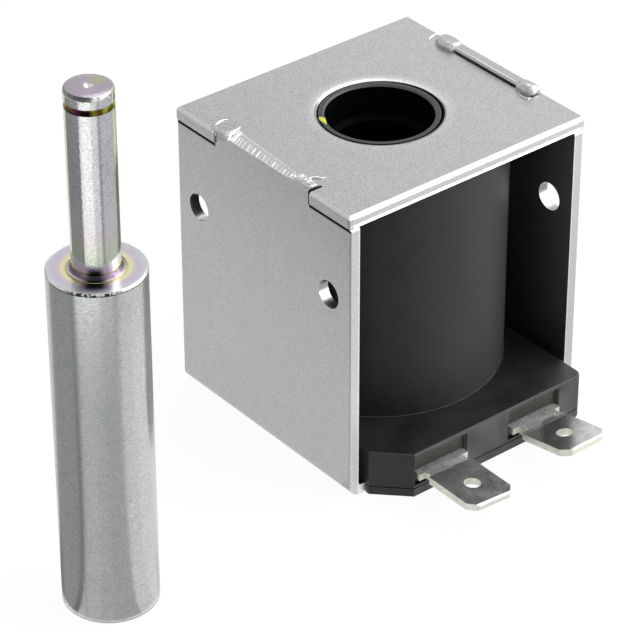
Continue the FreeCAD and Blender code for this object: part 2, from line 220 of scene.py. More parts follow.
def makeRolledGroup():
    # painted highlight on edges rolled over towards the front or rear, picked by which way they face; the sheared
    # faces beyond them, and a painted highlight line along them
    tree, given, result = newGroup(
        "rolledEdges",
        [("End Plane", "NodeSocketFloat", 14.5), ("Band Place", "NodeSocketFloat", 0.0),
         ("Band Width", "NodeSocketFloat", 0.2)],
        [("Rolled", "NodeSocketFloat"), ("Sheared", "NodeSocketFloat"), ("Band", "NodeSocketFloat")])
    place, normal = placeParts(tree)
    overEdge = product(tree, normal["Y"], -1.0, normal["Z"])
    waves = noiseNode(tree, 2300.0, 4.0)
    rolled = rangeNode(tree, total(tree, overEdge, product(tree, waves, 0.26)), 0.25, 0.44)
    outside = over(tree, sizeOf(tree, place["Y"]), given["End Plane"])
    sheared = product(tree, outside, over(tree, sizeOf(tree, normal["Y"]), 0.9))
    wavy = total(tree, given["Band Place"], product(tree, minus(tree, waves, 0.5), 0.5))
    band = under(tree, wavy, given["Band Width"])
    tree.links.new(rolled, result["Rolled"])
    tree.links.new(sheared, result["Sheared"])
    tree.links.new(product(tree, sheared, band), result["Band"])
    return tree


def useGrain(tree, fineScale, cloudScale, cloudShare):
    return useGroup(tree, grainGroup, {"Fine Scale": fineScale, "Cloud Scale": cloudScale,
                                       "Cloud Share": cloudShare})


grainGroup = makeGrainGroup()
edgeGroup = makeEdgeGroup()
dustGroup = makeDustGroup()
rolledGroup = makeRolledGroup()
print("stage: effects made")


# Materials

def newMaterial(name):
    material = bpy.data.materials.new(name)
    material.use_nodes = True
    tree = material.node_tree
    return material, tree, tree.nodes["Principled BSDF"]


def linkBump(tree, shader, height, strength, distance):
    bump = addNode(tree, "ShaderNodeBump", {"Height": height, "Strength": strength, "Distance": distance})
    tree.links.new(bump.outputs["Normal"], shader.inputs["Normal"])


zincValues = {
    "dark": (0.32, 0.323, 0.323, 1), "light": (0.50, 0.505, 0.505, 1), "worn": (0.94, 0.945, 0.94, 1),
    "sheared": (0.64, 0.665, 0.66, 1), "grime": (0.008, 0.008, 0.0075, 1),
    "roughLow": 0.30, "roughHigh": 0.42, "shearedRough": 0.12, "grimeRough": 0.4,
    "fine": 9000.0, "cloud": 700.0, "cloudShare": 0.06, "bump": 0.14,
    # painted shade: level faces get darker to the left between these two places, down to the fraction that
    # follows
    "toneReach": (-16.0, 14.0), "toneLow": 1.0,
    # bright edges: worn corners, and painted highlights on edges rolled towards the front or the left and on a
    # line along the sheared faces
    "edge": 0.00018, "edgeShare": 0.5, "rolledShare": 0.15, "sideShare": 0.0,
    "endPlane": 14.73, "bandAxis": "X", "bandFrom": 15.0, "bandWidth": 0.16,
    # painted shade in the seam between the walls and the plate
    "seam": 34.04, "seamHalf": 0.27, "seamBeyondX": 14.95, "seamBeyondY": 8.0, "seamSide": 0.5,
    # painted shade in the near end of the left notch
    "notchEnd": -8.02, "notchFade": (0.26, 0.14), "notchLeftOf": -14.6, "notchAbove": 34.1,
    # painted light: the right tongue's inner side, which stands free above the plate, is pale and barely metallic
    "barFrom": 35.97, "barRightOf": 14.5, "barHalf": 5.6, "barPale": (0.95, 0.955, 0.95, 1), "barShare": 1.0,
    # the top of the lump at the left tongue's rear end
    "lumpFrom": (-13.2, 5.3, 35.6), "lumpShare": 0.0, "lumpDark": (0.16, 0.165, 0.165, 1),
    # painted shade in the gap round the bore's rim, wider towards one side
    "gapCentre": (0.085, -0.07), "gapRadius": 6.93, "gapSoft": 0.05, "gapShare": 0.0,
    # painted highlight in a lighter ring round the bore, and painted shade that keeps all but the rear part of
    # its rolled edge grey
    "haloReach": (8.4, 7.1), "haloShare": 0.0,
    "dullRim": (0.30, 0.303, 0.303, 1), "dullReach": (3.4, 1.6), "dullRadius": 7.25, "dullShare": 0.0,
}


def makeZinc(name, values):
    # satin zinc: speckled grain, paler sheared faces, worn edges and painted highlights on the rolled and sheared
    # edges, painted shade in the seam under the plate
    material, tree, shader = newMaterial(name)
    place, normal = placeParts(tree)
    grain = useGrain(tree, values["fine"], values["cloud"], values["cloudShare"])
    shade = rangeNode(tree, grain["Shade"], 0.36, 0.66)
    colour = mixColour(tree, shade, values["dark"], values["light"])
    # painted shade: level faces darker towards the left
    tone = product(tree, rangeNode(tree, place["X"], *values["toneReach"], 1.0 - values["toneLow"], 0.0),
                   rangeNode(tree, normal["Z"], 0.9, 0.99))
    colour = mixColour(tree, tone, colour, (0, 0, 0, 1))
    # sheared faces, worn edges and painted highlights
    edge = useGroup(tree, edgeGroup, {"Radius": values["edge"], "Strength": 3.0})
    across = minus(tree, sizeOf(tree, place[values["bandAxis"]]), values["bandFrom"])
    ends = useGroup(tree, rolledGroup, {"End Plane": values["endPlane"], "Band Place": across,
                                        "Band Width": values["bandWidth"]})
    sheared = mixColour(tree, product(tree, shade, 0.5), values["sheared"], values["worn"])
    colour = mixColour(tree, product(tree, ends["Sheared"], 0.9), colour, sheared)
    # painted highlights on edges turned to the left or rolled towards the front, and on a line along the sheared
    # faces
    side = product(tree, normal["X"], -1.0, normal["Z"])
    side = product(tree, rangeNode(tree, side, 0.1, 0.36), values["sideShare"])
    rolled = product(tree, ends["Rolled"], values["rolledShare"])
    bright = larger(tree, larger(tree, rolled, ends["Band"]),
                    larger(tree, product(tree, edge["Mask"], values["edgeShare"]), side))
    colour = mixColour(tree, bright, colour, values["worn"])
    lumpX, lumpY, lumpZ = values["lumpFrom"]
    lump = product(tree, under(tree, place["X"], lumpX), over(tree, place["Y"], lumpY),
                   over(tree, place["Z"], lumpZ),
                   rangeNode(tree, grain["Shade"], 0.38, 0.62, values["lumpShare"], 0.0))
    colour = mixColour(tree, lump, colour, values["lumpDark"])
    # painted shade in the seam, in the notch and in the gap round the bore's rim
    fromSeam = sizeOf(tree, minus(tree, place["Z"], values["seam"]))
    grime = product(tree, over(tree, sizeOf(tree, place["Y"]), values["seamBeyondY"]),
                    product(tree, over(tree, sizeOf(tree, place["X"]), values["seamBeyondX"]),
                            over(tree, sizeOf(tree, normal["X"]), values["seamSide"])),
                    rangeNode(tree, fromSeam, values["seamHalf"], values["seamHalf"] * 0.4))
    fromNotch = sizeOf(tree, minus(tree, place["Y"], values["notchEnd"]))
    notch = product(tree, rangeNode(tree, fromNotch, *values["notchFade"]),
                    under(tree, place["X"], values["notchLeftOf"]), over(tree, place["Z"], values["notchAbove"]))
    fromBore = distance(tree, minus(tree, place["X"], values["gapCentre"][0]),
                        minus(tree, place["Y"], values["gapCentre"][1]))
    gap = product(tree, rangeNode(tree, fromBore, values["gapRadius"] + values["gapSoft"],
                                  values["gapRadius"] - values["gapSoft"]), values["gapShare"])
    grime = larger(tree, larger(tree, grime, notch), gap)
    # painted highlight in a ring round the bore, brighter to the rear, and painted shade on all but the rear part
    # of its rolled edge
    rearward = alongDirection(tree, place["X"], place["Y"], awayFromPhoto)
    halo = product(tree, rangeNode(tree, fromBore, *values["haloReach"]), values["haloShare"],
                   rangeNode(tree, grain["Shade"], 0.3, 0.7, 0.6, 1.4),
                   rangeNode(tree, rearward, -6.0, 4.0, 0.4, 1.0))
    colour = mixColour(tree, halo, colour, values["worn"])
    dull = product(tree, rangeNode(tree, rearward, *values["dullReach"]),
                   under(tree, fromBore, values["dullRadius"]),
                   rangeNode(tree, normal["Z"], 0.995, 0.97), values["dullShare"])
    colour = mixColour(tree, dull, colour, values["dullRim"])
    colour = mixColour(tree, grime, colour, values["grime"])
    # painted light: the right tongue's free inner side is pale and barely metallic
    bar = product(tree, over(tree, place["Z"], values["barFrom"]), under(tree, normal["X"], -0.6),
                  over(tree, place["X"], values["barRightOf"]),
                  under(tree, sizeOf(tree, place["Y"]), values["barHalf"]), values["barShare"])
    colour = mixColour(tree, bar, colour, values["barPale"])
    rough = total(tree, rangeNode(tree, grain["Shade"], 0.3, 0.7, values["roughHigh"], values["roughLow"]),
                  product(tree, ends["Sheared"], values["shearedRough"]),
                  product(tree, grime, values["grimeRough"]))
    metal = product(tree, rangeNode(tree, grime, 0.0, 1.0, 1.0, 0.1), rangeNode(tree, bar, 0.0, 1.0, 1.0, 0.1))
    fillInputs(tree, shader, {"Base Color": colour, "Roughness": rough, "Metallic": metal,
                              "Specular IOR Level": rangeNode(tree, grime, 0.0, 1.0, 0.5, 0.05)})
    linkBump(tree, shader, grain["Height"], values["bump"], 0.00004)
    return material


hammeredValues = {
    "dark": (0.36, 0.363, 0.363, 1), "light": (0.52, 0.525, 0.525, 1), "worn": (0.97, 0.975, 0.97, 1),
    "rough": 0.26, "attribute": "wear", "fine": 5200.0, "cloud": 1500.0, "cloudShare": 0.3, "bump": 0.12,
}


def makeHammered(name, values):
    # struck zinc: the raised rungs and rims are burnished and painted brighter as a highlight, by values stored
    # on the mesh
    material, tree, shader = newMaterial(name)
    grain = useGrain(tree, values["fine"], values["cloud"], values["cloudShare"])
    wear = addNode(tree, "ShaderNodeAttribute", attribute_name=values["attribute"]).outputs["Fac"]
    broken = mathNode(tree, "MULTIPLY", wear, rangeNode(tree, grain["Shade"], 0.35, 0.6, 0.75, 1.1), clamp=True)
    colour = mixColour(tree, rangeNode(tree, grain["Shade"], 0.3, 0.7), values["dark"], values["light"])
    colour = mixColour(tree, broken, colour, values["worn"])
    fillInputs(tree, shader, {"Base Color": colour, "Metallic": 1.0, "Roughness": values["rough"]})
    linkBump(tree, shader, grain["Height"], values["bump"], 0.00004)
    return material


turnedValues = {
    "dark": (0.58, 0.58, 0.575, 1), "light": (0.80, 0.80, 0.795, 1), "bodyRough": 0.24, "rodRough": 0.15,
    "fine": 5000.0, "cloud": 2200.0, "cloudShare": 0.35, "bump": 0.2,
    "bodyRadius": 5.1, "rodRadius": 2.5, "tip": 60.7, "grooveLow": 58.7, "grooveHigh": 59.4, "grooveRadius": 2.48,
    # faint tints in large patches, each with its scale
    "patches": (((0.80, 0.77, 0.55, 1), 60.0), ((0.66, 0.60, 0.74, 1), 75.0), ((0.46, 0.70, 0.54, 1), 210.0)),
    "patchShare": 0.2,
    # fine dark nicks
    "nick": (0.20, 0.22, 0.20, 1), "nickScale": 2300.0, "nickSize": 0.16, "nickShare": 0.5,
    # painted reflection bands with film tints across the rod, from its left edge to its right one as the camera
    # sees it
    "rodAround": [(0.0, (0.42, 0.44, 0.28)), (0.07, (0.56, 0.56, 0.44)), (0.14, (0.60, 0.56, 0.62)),
                  (0.33, (0.66, 0.64, 0.68)), (0.42, (0.82, 0.82, 0.81)), (0.62, (0.80, 0.80, 0.80)),
                  (0.74, (0.66, 0.63, 0.72)), (0.90, (0.68, 0.66, 0.72)), (0.96, (0.60, 0.66, 0.42)),
                  (1.0, (0.52, 0.58, 0.34))],
    "aroundShare": 0.8,
    # painted shade and reflection across the body: how much of the plain metal shows, from its left edge to its
    # right one
    "bodyAround": [(0.0, (0.52, 0.53, 0.48)), (0.035, (0.60, 0.61, 0.55)), (0.06, (1.0, 1.0, 1.0)),
                   (0.25, (1.0, 1.0, 1.0)), (0.28, (0.90, 0.96, 0.91)), (0.31, (1.0, 1.0, 1.0)),
                   (0.965, (1.0, 1.0, 1.0)), (1.0, (0.72, 0.73, 0.70))],
    "footRim": (0.30, 0.35, 0.31, 1), "footRimShare": 0.85,
    # film colours over the radius on the shoulder, from the rod to the edge
    "shoulderFilm": [(0.0, (0.40, 0.28, 0.42)), (0.10, (0.46, 0.38, 0.40)), (0.18, (0.60, 0.60, 0.30)),
                     (0.36, (0.66, 0.67, 0.40)), (0.48, (0.60, 0.48, 0.50)), (0.62, (0.50, 0.46, 0.58)),
                     (0.82, (0.52, 0.51, 0.57)), (1.0, (0.60, 0.60, 0.61))],
    "filmShare": 0.95, "driftScale": 260.0, "drift": 0.16,
    # film colours up the rod from the shoulder
    "rodFilm": [(0.0, (0.14, 0.10, 0.15)), (0.05, (0.26, 0.19, 0.27)), (0.11, (0.50, 0.40, 0.54)),
                (0.22, (0.58, 0.68, 0.48)), (0.36, (0.70, 0.76, 0.56)), (0.50, (0.76, 0.68, 0.66)),
                (0.68, (0.74, 0.74, 0.78)), (1.0, (0.78, 0.78, 0.77))],
    "rodFilmHeight": 9.0, "rodFilmShare": 0.6,
    # the rod's foot and its shadow on the shoulder, the line under the shoulder's edge
    "frontDark": (0.03, 0.028, 0.03, 1), "edgeDark": (0.035, 0.045, 0.035, 1),
    # the tip's top, and painted reflections and highlights across its chamfer
    "tipTint": (0.33, 0.28, 0.35, 1), "tipPatch": (0.40, 0.42, 0.20, 1), "tipPatchAt": (0.9, -1.0),
    "tipEdge": [(0.0, (0.16, 0.19, 0.15)), (0.3, (0.06, 0.08, 0.06)), (0.45, (0.02, 0.02, 0.02)),
                (0.56, (0.10, 0.10, 0.10)), (0.64, (0.9, 0.9, 0.9)), (0.8, (0.45, 0.47, 0.44)),
                (1.0, (0.30, 0.33, 0.26))],
    # film tints and painted shade across the retaining ring's groove
    "grooveFilm": [(0.0, (0.30, 0.24, 0.10)), (0.22, (0.26, 0.12, 0.24)), (0.36, (0.10, 0.06, 0.03)),
                   (0.52, (0.06, 0.045, 0.03)), (0.64, (0.42, 0.38, 0.12)), (0.8, (0.22, 0.14, 0.08)),
                   (1.0, (0.30, 0.34, 0.10))],
}


def makeTurned(name, values):
    # turned steel under a thin passivation film that takes on colour near the shoulder and in the groove, with
    # painted reflections, highlights and shade across it
    material, tree, shader = newMaterial(name)
    place, normal = placeParts(tree)
    bodyRadius, rodRadius = values["bodyRadius"], values["rodRadius"]
    dx = minus(tree, place["X"], plungerAxis[0])
    dy = minus(tree, place["Y"], plungerAxis[1])
    radius = distance(tree, dx, dy)
    sideways = alongDirection(tree, dx, dy, photoRight)
    ahead = alongDirection(tree, dx, dy, towardsPhoto)
    front = mathNode(tree, "DIVIDE", ahead, radius)
    acrossRod = rangeNode(tree, sideways, -rodRadius, rodRadius)
    above = minus(tree, place["Z"], shoulderLevel)
    aboveShoulder = over(tree, above, 0.02)
    onBody = under(tree, above, -0.02)
    up = over(tree, normal["Z"], 0.8)
    onShoulder = product(tree, under(tree, sizeOf(tree, above), 0.3), up)
    offShoulder = minus(tree, 1.0, onShoulder)
    drift = product(tree, minus(tree, noiseNode(tree, values["driftScale"], 2.0), 0.5), values["drift"])

    # plain metal with its patches
    grain = useGrain(tree, values["fine"], values["cloud"], values["cloudShare"])
    shade = rangeNode(tree, grain["Shade"], 0.36, 0.64)
    colour = mixColour(tree, shade, values["dark"], values["light"])
    for tint, scale in values["patches"]:
        patch = rangeNode(tree, noiseNode(tree, scale, 3.0), 0.56, 0.70)
        colour = mixColour(tree, product(tree, patch, values["patchShare"]), colour, tint)

    # painted reflection bands and tints across the rod, painted shade across the body, nicks
    rodPart = product(tree, over(tree, above, 0.5), under(tree, radius, rodRadius + 0.1))
    tint = scaleColour(tree, rampNode(tree, acrossRod, values["rodAround"]),
                       rangeNode(tree, grain["Shade"], 0.36, 0.64, 0.74, 1.16))
    colour = mixColour(tree, product(tree, rodPart, values["aroundShare"]), colour, tint)
    # painted shade at the body's sides and a painted reflection line across it
    tint = rampNode(tree, rangeNode(tree, sideways, -bodyRadius, bodyRadius), values["bodyAround"])
    tinted = addNode(tree, "ShaderNodeVectorMath", {0: colour, 1: tint}, operation="MULTIPLY").outputs[0]
    colour = mixColour(tree, onBody, colour, tinted)
    footRim = product(tree, rangeNode(tree, place["Z"], 0.42, 0.3), values["footRimShare"])
    colour = mixColour(tree, footRim, colour, values["footRim"])
    nicks = useGroup(tree, dustGroup, {"Scale": values["nickScale"], "Size": values["nickSize"]})
    colour = mixColour(tree, product(tree, nicks["Mask"], values["nickShare"]), colour, values["nick"])

    # film on the shoulder and up the rod
    outward = total(tree, rangeNode(tree, radius, rodRadius, bodyRadius), drift)
    colour = mixColour(tree, product(tree, onShoulder, values["filmShare"]), colour,
                       rampNode(tree, outward, values["shoulderFilm"]))
    height = values["rodFilmHeight"]
    lowRod = product(tree, rangeNode(tree, above, height, 6.0), aboveShoulder, offShoulder)
    rodFilm = rampNode(tree, total(tree, rangeNode(tree, above, 0.0, height), drift), values["rodFilm"])
    filmed = larger(tree, product(tree, lowRod, values["rodFilmShare"]),
                    product(tree, rangeNode(tree, above, 1.3, 0.5), aboveShoulder))
    colour = mixColour(tree, product(tree, filmed, offShoulder), colour, rodFilm)

    # painted reflection: the rod's foot and its reflection in the shoulder are dark towards the front
    foot = product(tree, rangeNode(tree, above, 1.5, 0.5), aboveShoulder)
    mirrored = product(tree, onShoulder, rangeNode(tree, total(tree, radius, drift), 4.7, 3.9),
                       over(tree, radius, 3.15))
    dark = product(tree, rangeNode(tree, front, 0.905, 0.985), larger(tree, foot, mirrored))
    colour = mixColour(tree, dark, colour, values["frontDark"])

    # a dark line under the shoulder's edge, broken and pitted at the front
    broken = noiseNode(tree, 2400.0, 3.0)
    line = rangeNode(tree, sizeOf(tree, total(tree, above, 0.27)), 0.1, 0.04)
    pits = product(tree, over(tree, broken, 0.52), over(tree, above, -0.36), rangeNode(tree, front, 0.8, 0.92))
    marks = product(tree, product(tree, over(tree, radius, 4.8), onBody),
                    larger(tree, product(tree, line, 0.7), pits))
    colour = mixColour(tree, marks, colour, values["edgeDark"])

    # the tip, and painted reflections and highlights across its chamfer
    onTip = product(tree, over(tree, place["Z"], values["tip"] - 0.3), up)
    colour = mixColour(tree, product(tree, onTip, 0.85), colour, values["tipTint"])
    patchSide, patchAhead = values["tipPatchAt"]
    patchAway = total(tree, sizeOf(tree, minus(tree, sideways, patchSide)),
                      sizeOf(tree, minus(tree, ahead, patchAhead)))
    wavering = total(tree, patchAway, product(tree, drift, 6.0))
    tipPatch = product(tree, onTip, rangeNode(tree, wavering, 1.3, 0.5))
    colour = mixColour(tree, product(tree, tipPatch, 0.6), colour, values["tipPatch"])
    chamfer = product(tree, over(tree, radius, 2.2), over(tree, place["Z"], values["tip"] - 0.42),
                      under(tree, normal["Z"], 0.93))
    wavering = total(tree, acrossRod, product(tree, minus(tree, broken, 0.5), 0.5))
    colour = mixColour(tree, product(tree, chamfer, 0.9), colour, rampNode(tree, wavering, values["tipEdge"]))

    # the film and painted shade in the groove, counted across it as the camera sees it
    inGroove = product(tree, over(tree, place["Z"], values["grooveLow"] - 0.02),
                       under(tree, place["Z"], values["grooveHigh"] + 0.02),
                       under(tree, radius, values["grooveRadius"]))
    around = total(tree, rangeNode(tree, sideways, -2.0, 2.0), drift)
    colour = mixColour(tree, inGroove, colour, rampNode(tree, around, values["grooveFilm"]))

    onRod = rangeNode(tree, above, -0.05, 0.05)
    rough = total(tree, rangeNode(tree, onRod, 0.0, 1.0, values["bodyRough"], values["rodRough"]),
                  rangeNode(tree, grain["Shade"], 0.3, 0.7, 0.05, -0.05))
    fillInputs(tree, shader, {"Base Color": colour, "Roughness": rough, "Metallic": 1.0})
    linkBump(tree, shader, grain["Height"], values["bump"], 0.00005)
    return material


blackValues = {
    "base": (0.022, 0.022, 0.0222, 1), "pale": (0.036, 0.036, 0.0355, 1), "edge": (0.085, 0.085, 0.08, 1),
    "speck": (0.16, 0.16, 0.15, 1), "roughLow": 0.38, "roughHigh": 0.50, "specular": 0.5, "edgeRadius": 0.00016,
    "fine": 5200.0, "cloud": 260.0, "cloudShare": 0.45, "bump": 0.18, "mottleScale": 330.0,
    "dust": 0.5, "dustScale": 1500.0, "dustSize": 0.10,
    # painted light and shade: tones of the bobbin's faces by which way they face: the block's front lighter, its
    # slanted corner and the flange's top darker
    "facing": 0.0, "front": (0.044, 0.044, 0.044, 1), "frontPale": (0.086, 0.086, 0.086, 1),
    "slant": (0.004, 0.004, 0.004, 1), "slantPale": (0.013, 0.013, 0.013, 1),
    "top": (0.006, 0.006, 0.006, 1), "topPale": (0.022, 0.022, 0.022, 1), "topBelow": 10.0,
    # painted light: the jacket is paler towards its right side
    "asideShare": 0.0, "asideReach": (1.0, 12.5), "asidePale": (0.036, 0.036, 0.036, 1),
    # painted light: the recesses that the terminals come out of are paler, their side walls paler still
    "recess": (0.060, 0.060, 0.050, 1), "recessLow": (0.042, 0.042, 0.036, 1),
    "recessSide": (0.16, 0.16, 0.14, 1),
    "recessOuter": -18.86, "recessFrom": -18.5, "recessTo": -18.2, "recessTop": 5.2,
    # the barrel's rim: painted shade in a fine dark line and a painted highlight on the paler inner lip
    "rimFrom": 30.0, "rimLine": 6.36, "rimHalf": 0.075, "rimDark": (0.004, 0.004, 0.004, 1),
    "lip": 6.2, "lipSoft": 0.03, "rimPale": (0.07, 0.07, 0.07, 1),
}


def makeBlack(name, values):
    # moulded black plastic: fine matt grain, edges paler as a painted highlight, a few specks
    material, tree, shader = newMaterial(name)
    place, normal = placeParts(tree)
    grain = useGrain(tree, values["fine"], values["cloud"], values["cloudShare"])
    edge = useGroup(tree, edgeGroup, {"Radius": values["edgeRadius"], "Strength": 3.0})
    dust = useGroup(tree, dustGroup, {"Scale": values["dustScale"], "Size": values["dustSize"]})
    colour = mixColour(tree, rangeNode(tree, grain["Shade"], 0.35, 0.65), values["base"], values["pale"])
    # painted highlight: paler edges
    colour = mixColour(tree, edge["Mask"], colour, values["edge"])
    colour = mixColour(tree, product(tree, dust["Mask"], values["dust"]), colour, values["speck"])
    mottle = rangeNode(tree, noiseNode(tree, values["mottleScale"], 5.0), 0.38, 0.62)
    speckled = rangeNode(tree, grain["Shade"], 0.41, 0.60)
    level = rangeNode(tree, normal["Z"], 0.9, 0.99)
    # painted light and shade: each face of the bobbin gets its own tone by which way it faces
    faceTones = (
        (rangeNode(tree, product(tree, normal["Y"], -1.0), 0.93, 0.99), mottle, "front"),
        (rangeNode(tree, product(tree, normal["X"], normal["Y"]), 0.3, 0.45), speckled, "slant"),
        (product(tree, level, under(tree, place["Z"], values["topBelow"])), speckled, "top"))
    for share, mixed, face in faceTones:
        tone = mixColour(tree, mixed, values[face], values[face + "Pale"])
        colour = mixColour(tree, product(tree, share, values["facing"]), colour, tone)
    # painted highlight: paler edges once more over the face tones
    colour = mixColour(tree, product(tree, edge["Mask"], 0.6), colour, values["edge"])
    # painted light: paler towards the right
    aside = alongDirection(tree, place["X"], place["Y"], photoRight)
    aside = rangeNode(tree, aside, *values["asideReach"], 0.0, values["asideShare"])
    colour = mixColour(tree, aside, colour, values["asidePale"])
    # painted light: the recesses are paler, darker towards their lower end
    recess = product(tree, product(tree, over(tree, place["Y"], values["recessFrom"]),
                                   under(tree, place["Y"], values["recessTo"])),
                     under(tree, normal["Y"], -0.9))
    depth = total(tree, rangeNode(tree, place["Z"], 4.9, 3.0), product(tree, mottle, 0.5))
    colour = mixColour(tree, recess, colour, mixColour(tree, depth, values["recess"], values["recessLow"]))
    # painted light: the recesses' side walls
    sideWall = product(tree, over(tree, place["Y"], values["recessOuter"]),
                       under(tree, place["Y"], values["recessTo"]), under(tree, place["Z"], values["recessTop"]),
                       under(tree, normal["X"], -0.9), values["facing"])
    colour = mixColour(tree, sideWall, colour, values["recessSide"])
    # painted shade line and painted highlight lip on the barrel's rim
    radius = distance(tree, place["X"], place["Y"])
    onRim = product(tree, over(tree, place["Z"], values["rimFrom"]), values["facing"])
    lip = rangeNode(tree, radius, values["lip"] + values["lipSoft"], values["lip"] - values["lipSoft"])
    colour = mixColour(tree, product(tree, lip, onRim), colour, values["rimPale"])
    fromLine = sizeOf(tree, minus(tree, radius, values["rimLine"]))
    line = rangeNode(tree, fromLine, values["rimHalf"], values["rimHalf"] * 0.4)
    colour = mixColour(tree, product(tree, line, onRim), colour, values["rimDark"])
    rough = rangeNode(tree, grain["Shade"], 0.3, 0.7, values["roughLow"], values["roughHigh"])
    fillInputs(tree, shader, {"Base Color": colour, "Roughness": rough, "Specular IOR Level": values["specular"]})
    linkBump(tree, shader, grain["Height"], values["bump"], 0.00004)
    return material


tinValues = {
    "dark": (0.50, 0.50, 0.495, 1), "light": (0.70, 0.70, 0.695, 1), "cut": (0.66, 0.67, 0.58, 1),
    "cutPale": (0.86, 0.87, 0.79, 1), "frontCut": (0.70, 0.72, 0.62, 1), "rough": 0.34,
    "fine": 4600.0, "cloud": 900.0, "cloudShare": 0.45, "grainShare": 0.8, "smearScale": 380.0, "bump": 0.16,
    "nearScale": 0.66,   # the near blade is duller
    # the blasted strip next to the moulding
    "rootLine": -18.9, "rootReach": 1.6, "rootDark": (0.16, 0.16, 0.155, 1), "rootPale": (0.42, 0.42, 0.41, 1),
    # painted reflection: where the dark reflection on the far blade's top starts and ends, slantwise across the
    # blade
    "polished": (0.17, 0.17, 0.175, 1), "acrossBlade": (0.77, -0.637), "polishedFrom": (17.6, 18.3),
    "polishedTo": (21.6, 20.7),
}


def makeTin(name, values):
    # tinned brass strip: smeared bright faces, brass showing on the sheared edges
    material, tree, shader = newMaterial(name)
    place, normal = placeParts(tree)
    cut = rangeNode(tree, sizeOf(tree, normal["Z"]), 0.75, 0.55)
    up = rangeNode(tree, normal["Z"], 0.8, 0.95)
    smear = noiseNode(tree, values["smearScale"], 4.0, 1.6)
    grain = useGrain(tree, values["fine"], values["cloud"], values["cloudShare"])
    grainShade = rangeNode(tree, grain["Shade"], 0.35, 0.65)
    tone = addNode(tree, "ShaderNodeMix", {"Factor": values["grainShare"], 2: smear, 3: grain["Shade"]})
    face = mixColour(tree, rangeNode(tree, tone.outputs[0], 0.43, 0.58), values["dark"], values["light"])
    dull = product(tree, under(tree, place["X"], 0.0), rangeNode(tree, normal["Z"], 0.90, 0.99))
    face = scaleColour(tree, face, rangeNode(tree, dull, 0.0, 1.0, 1.0, values["nearScale"]))
    side = mixColour(tree, grainShade, values["cut"], values["cutPale"])
    ahead = rangeNode(tree, product(tree, normal["Y"], -1.0), 0.72, 0.9)
    side = mixColour(tree, product(tree, ahead, 0.75), side, values["frontCut"])
    wander = product(tree, minus(tree, smear, 0.5), 1.4)
    out = total(tree, minus(tree, values["rootLine"], place["Y"]), wander)
    root = product(tree, rangeNode(tree, out, values["rootReach"], values["rootReach"] - 0.35), up)
    rootColour = mixColour(tree, grainShade, values["rootDark"], values["rootPale"])
    face = mixColour(tree, product(tree, root, 0.8), face, rootColour)
    # painted reflection: a dark band slantwise across the far blade's top
    across = total(tree, alongDirection(tree, place["X"], place["Y"], values["acrossBlade"]),
                   product(tree, wander, 0.5))
    polished = product(tree, rangeNode(tree, across, *values["polishedFrom"]),
                       rangeNode(tree, across, *values["polishedTo"]),
                       minus(tree, 1.0, root), product(tree, up, over(tree, place["X"], 0.0)))
    face = mixColour(tree, product(tree, polished, 0.8), face, values["polished"])
    rough = total(tree, rangeNode(tree, smear, 0.3, 0.7, values["rough"], values["rough"] + 0.1),
                  total(tree, product(tree, cut, 0.15), product(tree, root, 0.3)))
    fillInputs(tree, shader, {"Base Color": mixColour(tree, cut, face, side), "Roughness": rough,
                              "Metallic": rangeNode(tree, root, 0.0, 1.0, 1.0, 0.6)})
    linkBump(tree, shader, grain["Height"], values["bump"], 0.00004)
    return material


wireValues = {"valley": (0.30, 0.10, 0.035, 1), "turn": (0.78, 0.36, 0.16, 1), "turnScale": 1100.0,
              "metal": 0.8, "rough": 0.28, "coat": 0.5}
tapeValues = {"dark": (0.62, 0.48, 0.16, 1), "light": (0.82, 0.70, 0.32, 1), "weaveScale": 700.0,
              "rough": (0.35, 0.5)}
brassValues = {"dark": (0.52, 0.38, 0.14, 1), "light": (0.86, 0.70, 0.36, 1), "rough": (0.22, 0.36)}
paintValues = {"dark": (0.52, 0.55, 0.012, 1), "light": (0.90, 0.92, 0.08, 1), "rough": 0.42}


def waveNode(tree, scale, distortion, direction):
    place = addNode(tree, "ShaderNodeTexCoord").outputs["Object"]
    return addNode(tree, "ShaderNodeTexWave", {"Vector": place, "Scale": scale, "Distortion": distortion},
                   bands_direction=direction).outputs["Fac"]


def makeWire(name, values):
    # enamelled copper with each turn showing as a fine ring
    material, tree, shader = newMaterial(name)
    turns = waveNode(tree, values["turnScale"], 0.4, "Z")
    colour = mixColour(tree, turns, values["valley"], values["turn"])
    fillInputs(tree, shader, {"Base Color": colour, "Metallic": values["metal"], "Roughness": values["rough"],
                              "Coat Weight": values["coat"]})
    linkBump(tree, shader, turns, 0.5, 0.00008)
    return material


def makeTape(name, values):
    # thin insulating film with a lapped weave
    material, tree, shader = newMaterial(name)
    weave = waveNode(tree, values["weaveScale"], 1.0, "DIAGONAL")
    fillInputs(tree, shader, {"Base Color": mixColour(tree, weave, values["dark"], values["light"]),
                              "Roughness": rangeNode(tree, weave, 0.0, 1.0, *values["rough"])})
    linkBump(tree, shader, weave, 0.2, 0.00004)
    return material


def makeBrass(name, values):
    material, tree, shader = newMaterial(name)
    grain = useGrain(tree, 5000.0, 700.0, 0.5)
    fillInputs(tree, shader, {"Base Color": mixColour(tree, grain["Shade"], values["dark"], values["light"]),
                              "Roughness": rangeNode(tree, grain["Shade"], 0.3, 0.7, *values["rough"]),
                              "Metallic": 1.0})
    linkBump(tree, shader, grain["Height"], 0.1, 0.00004)
    return material


def makePaint(name, values):
    material, tree, shader = newMaterial(name)
    grain = useGrain(tree, 6000.0, 2500.0, 0.6)
    colour = mixColour(tree, rangeNode(tree, grain["Shade"], 0.35, 0.65), values["dark"], values["light"])
    fillInputs(tree, shader, {"Base Color": colour, "Roughness": values["rough"]})
    linkBump(tree, shader, grain["Height"], 0.4, 0.00005)
    return material


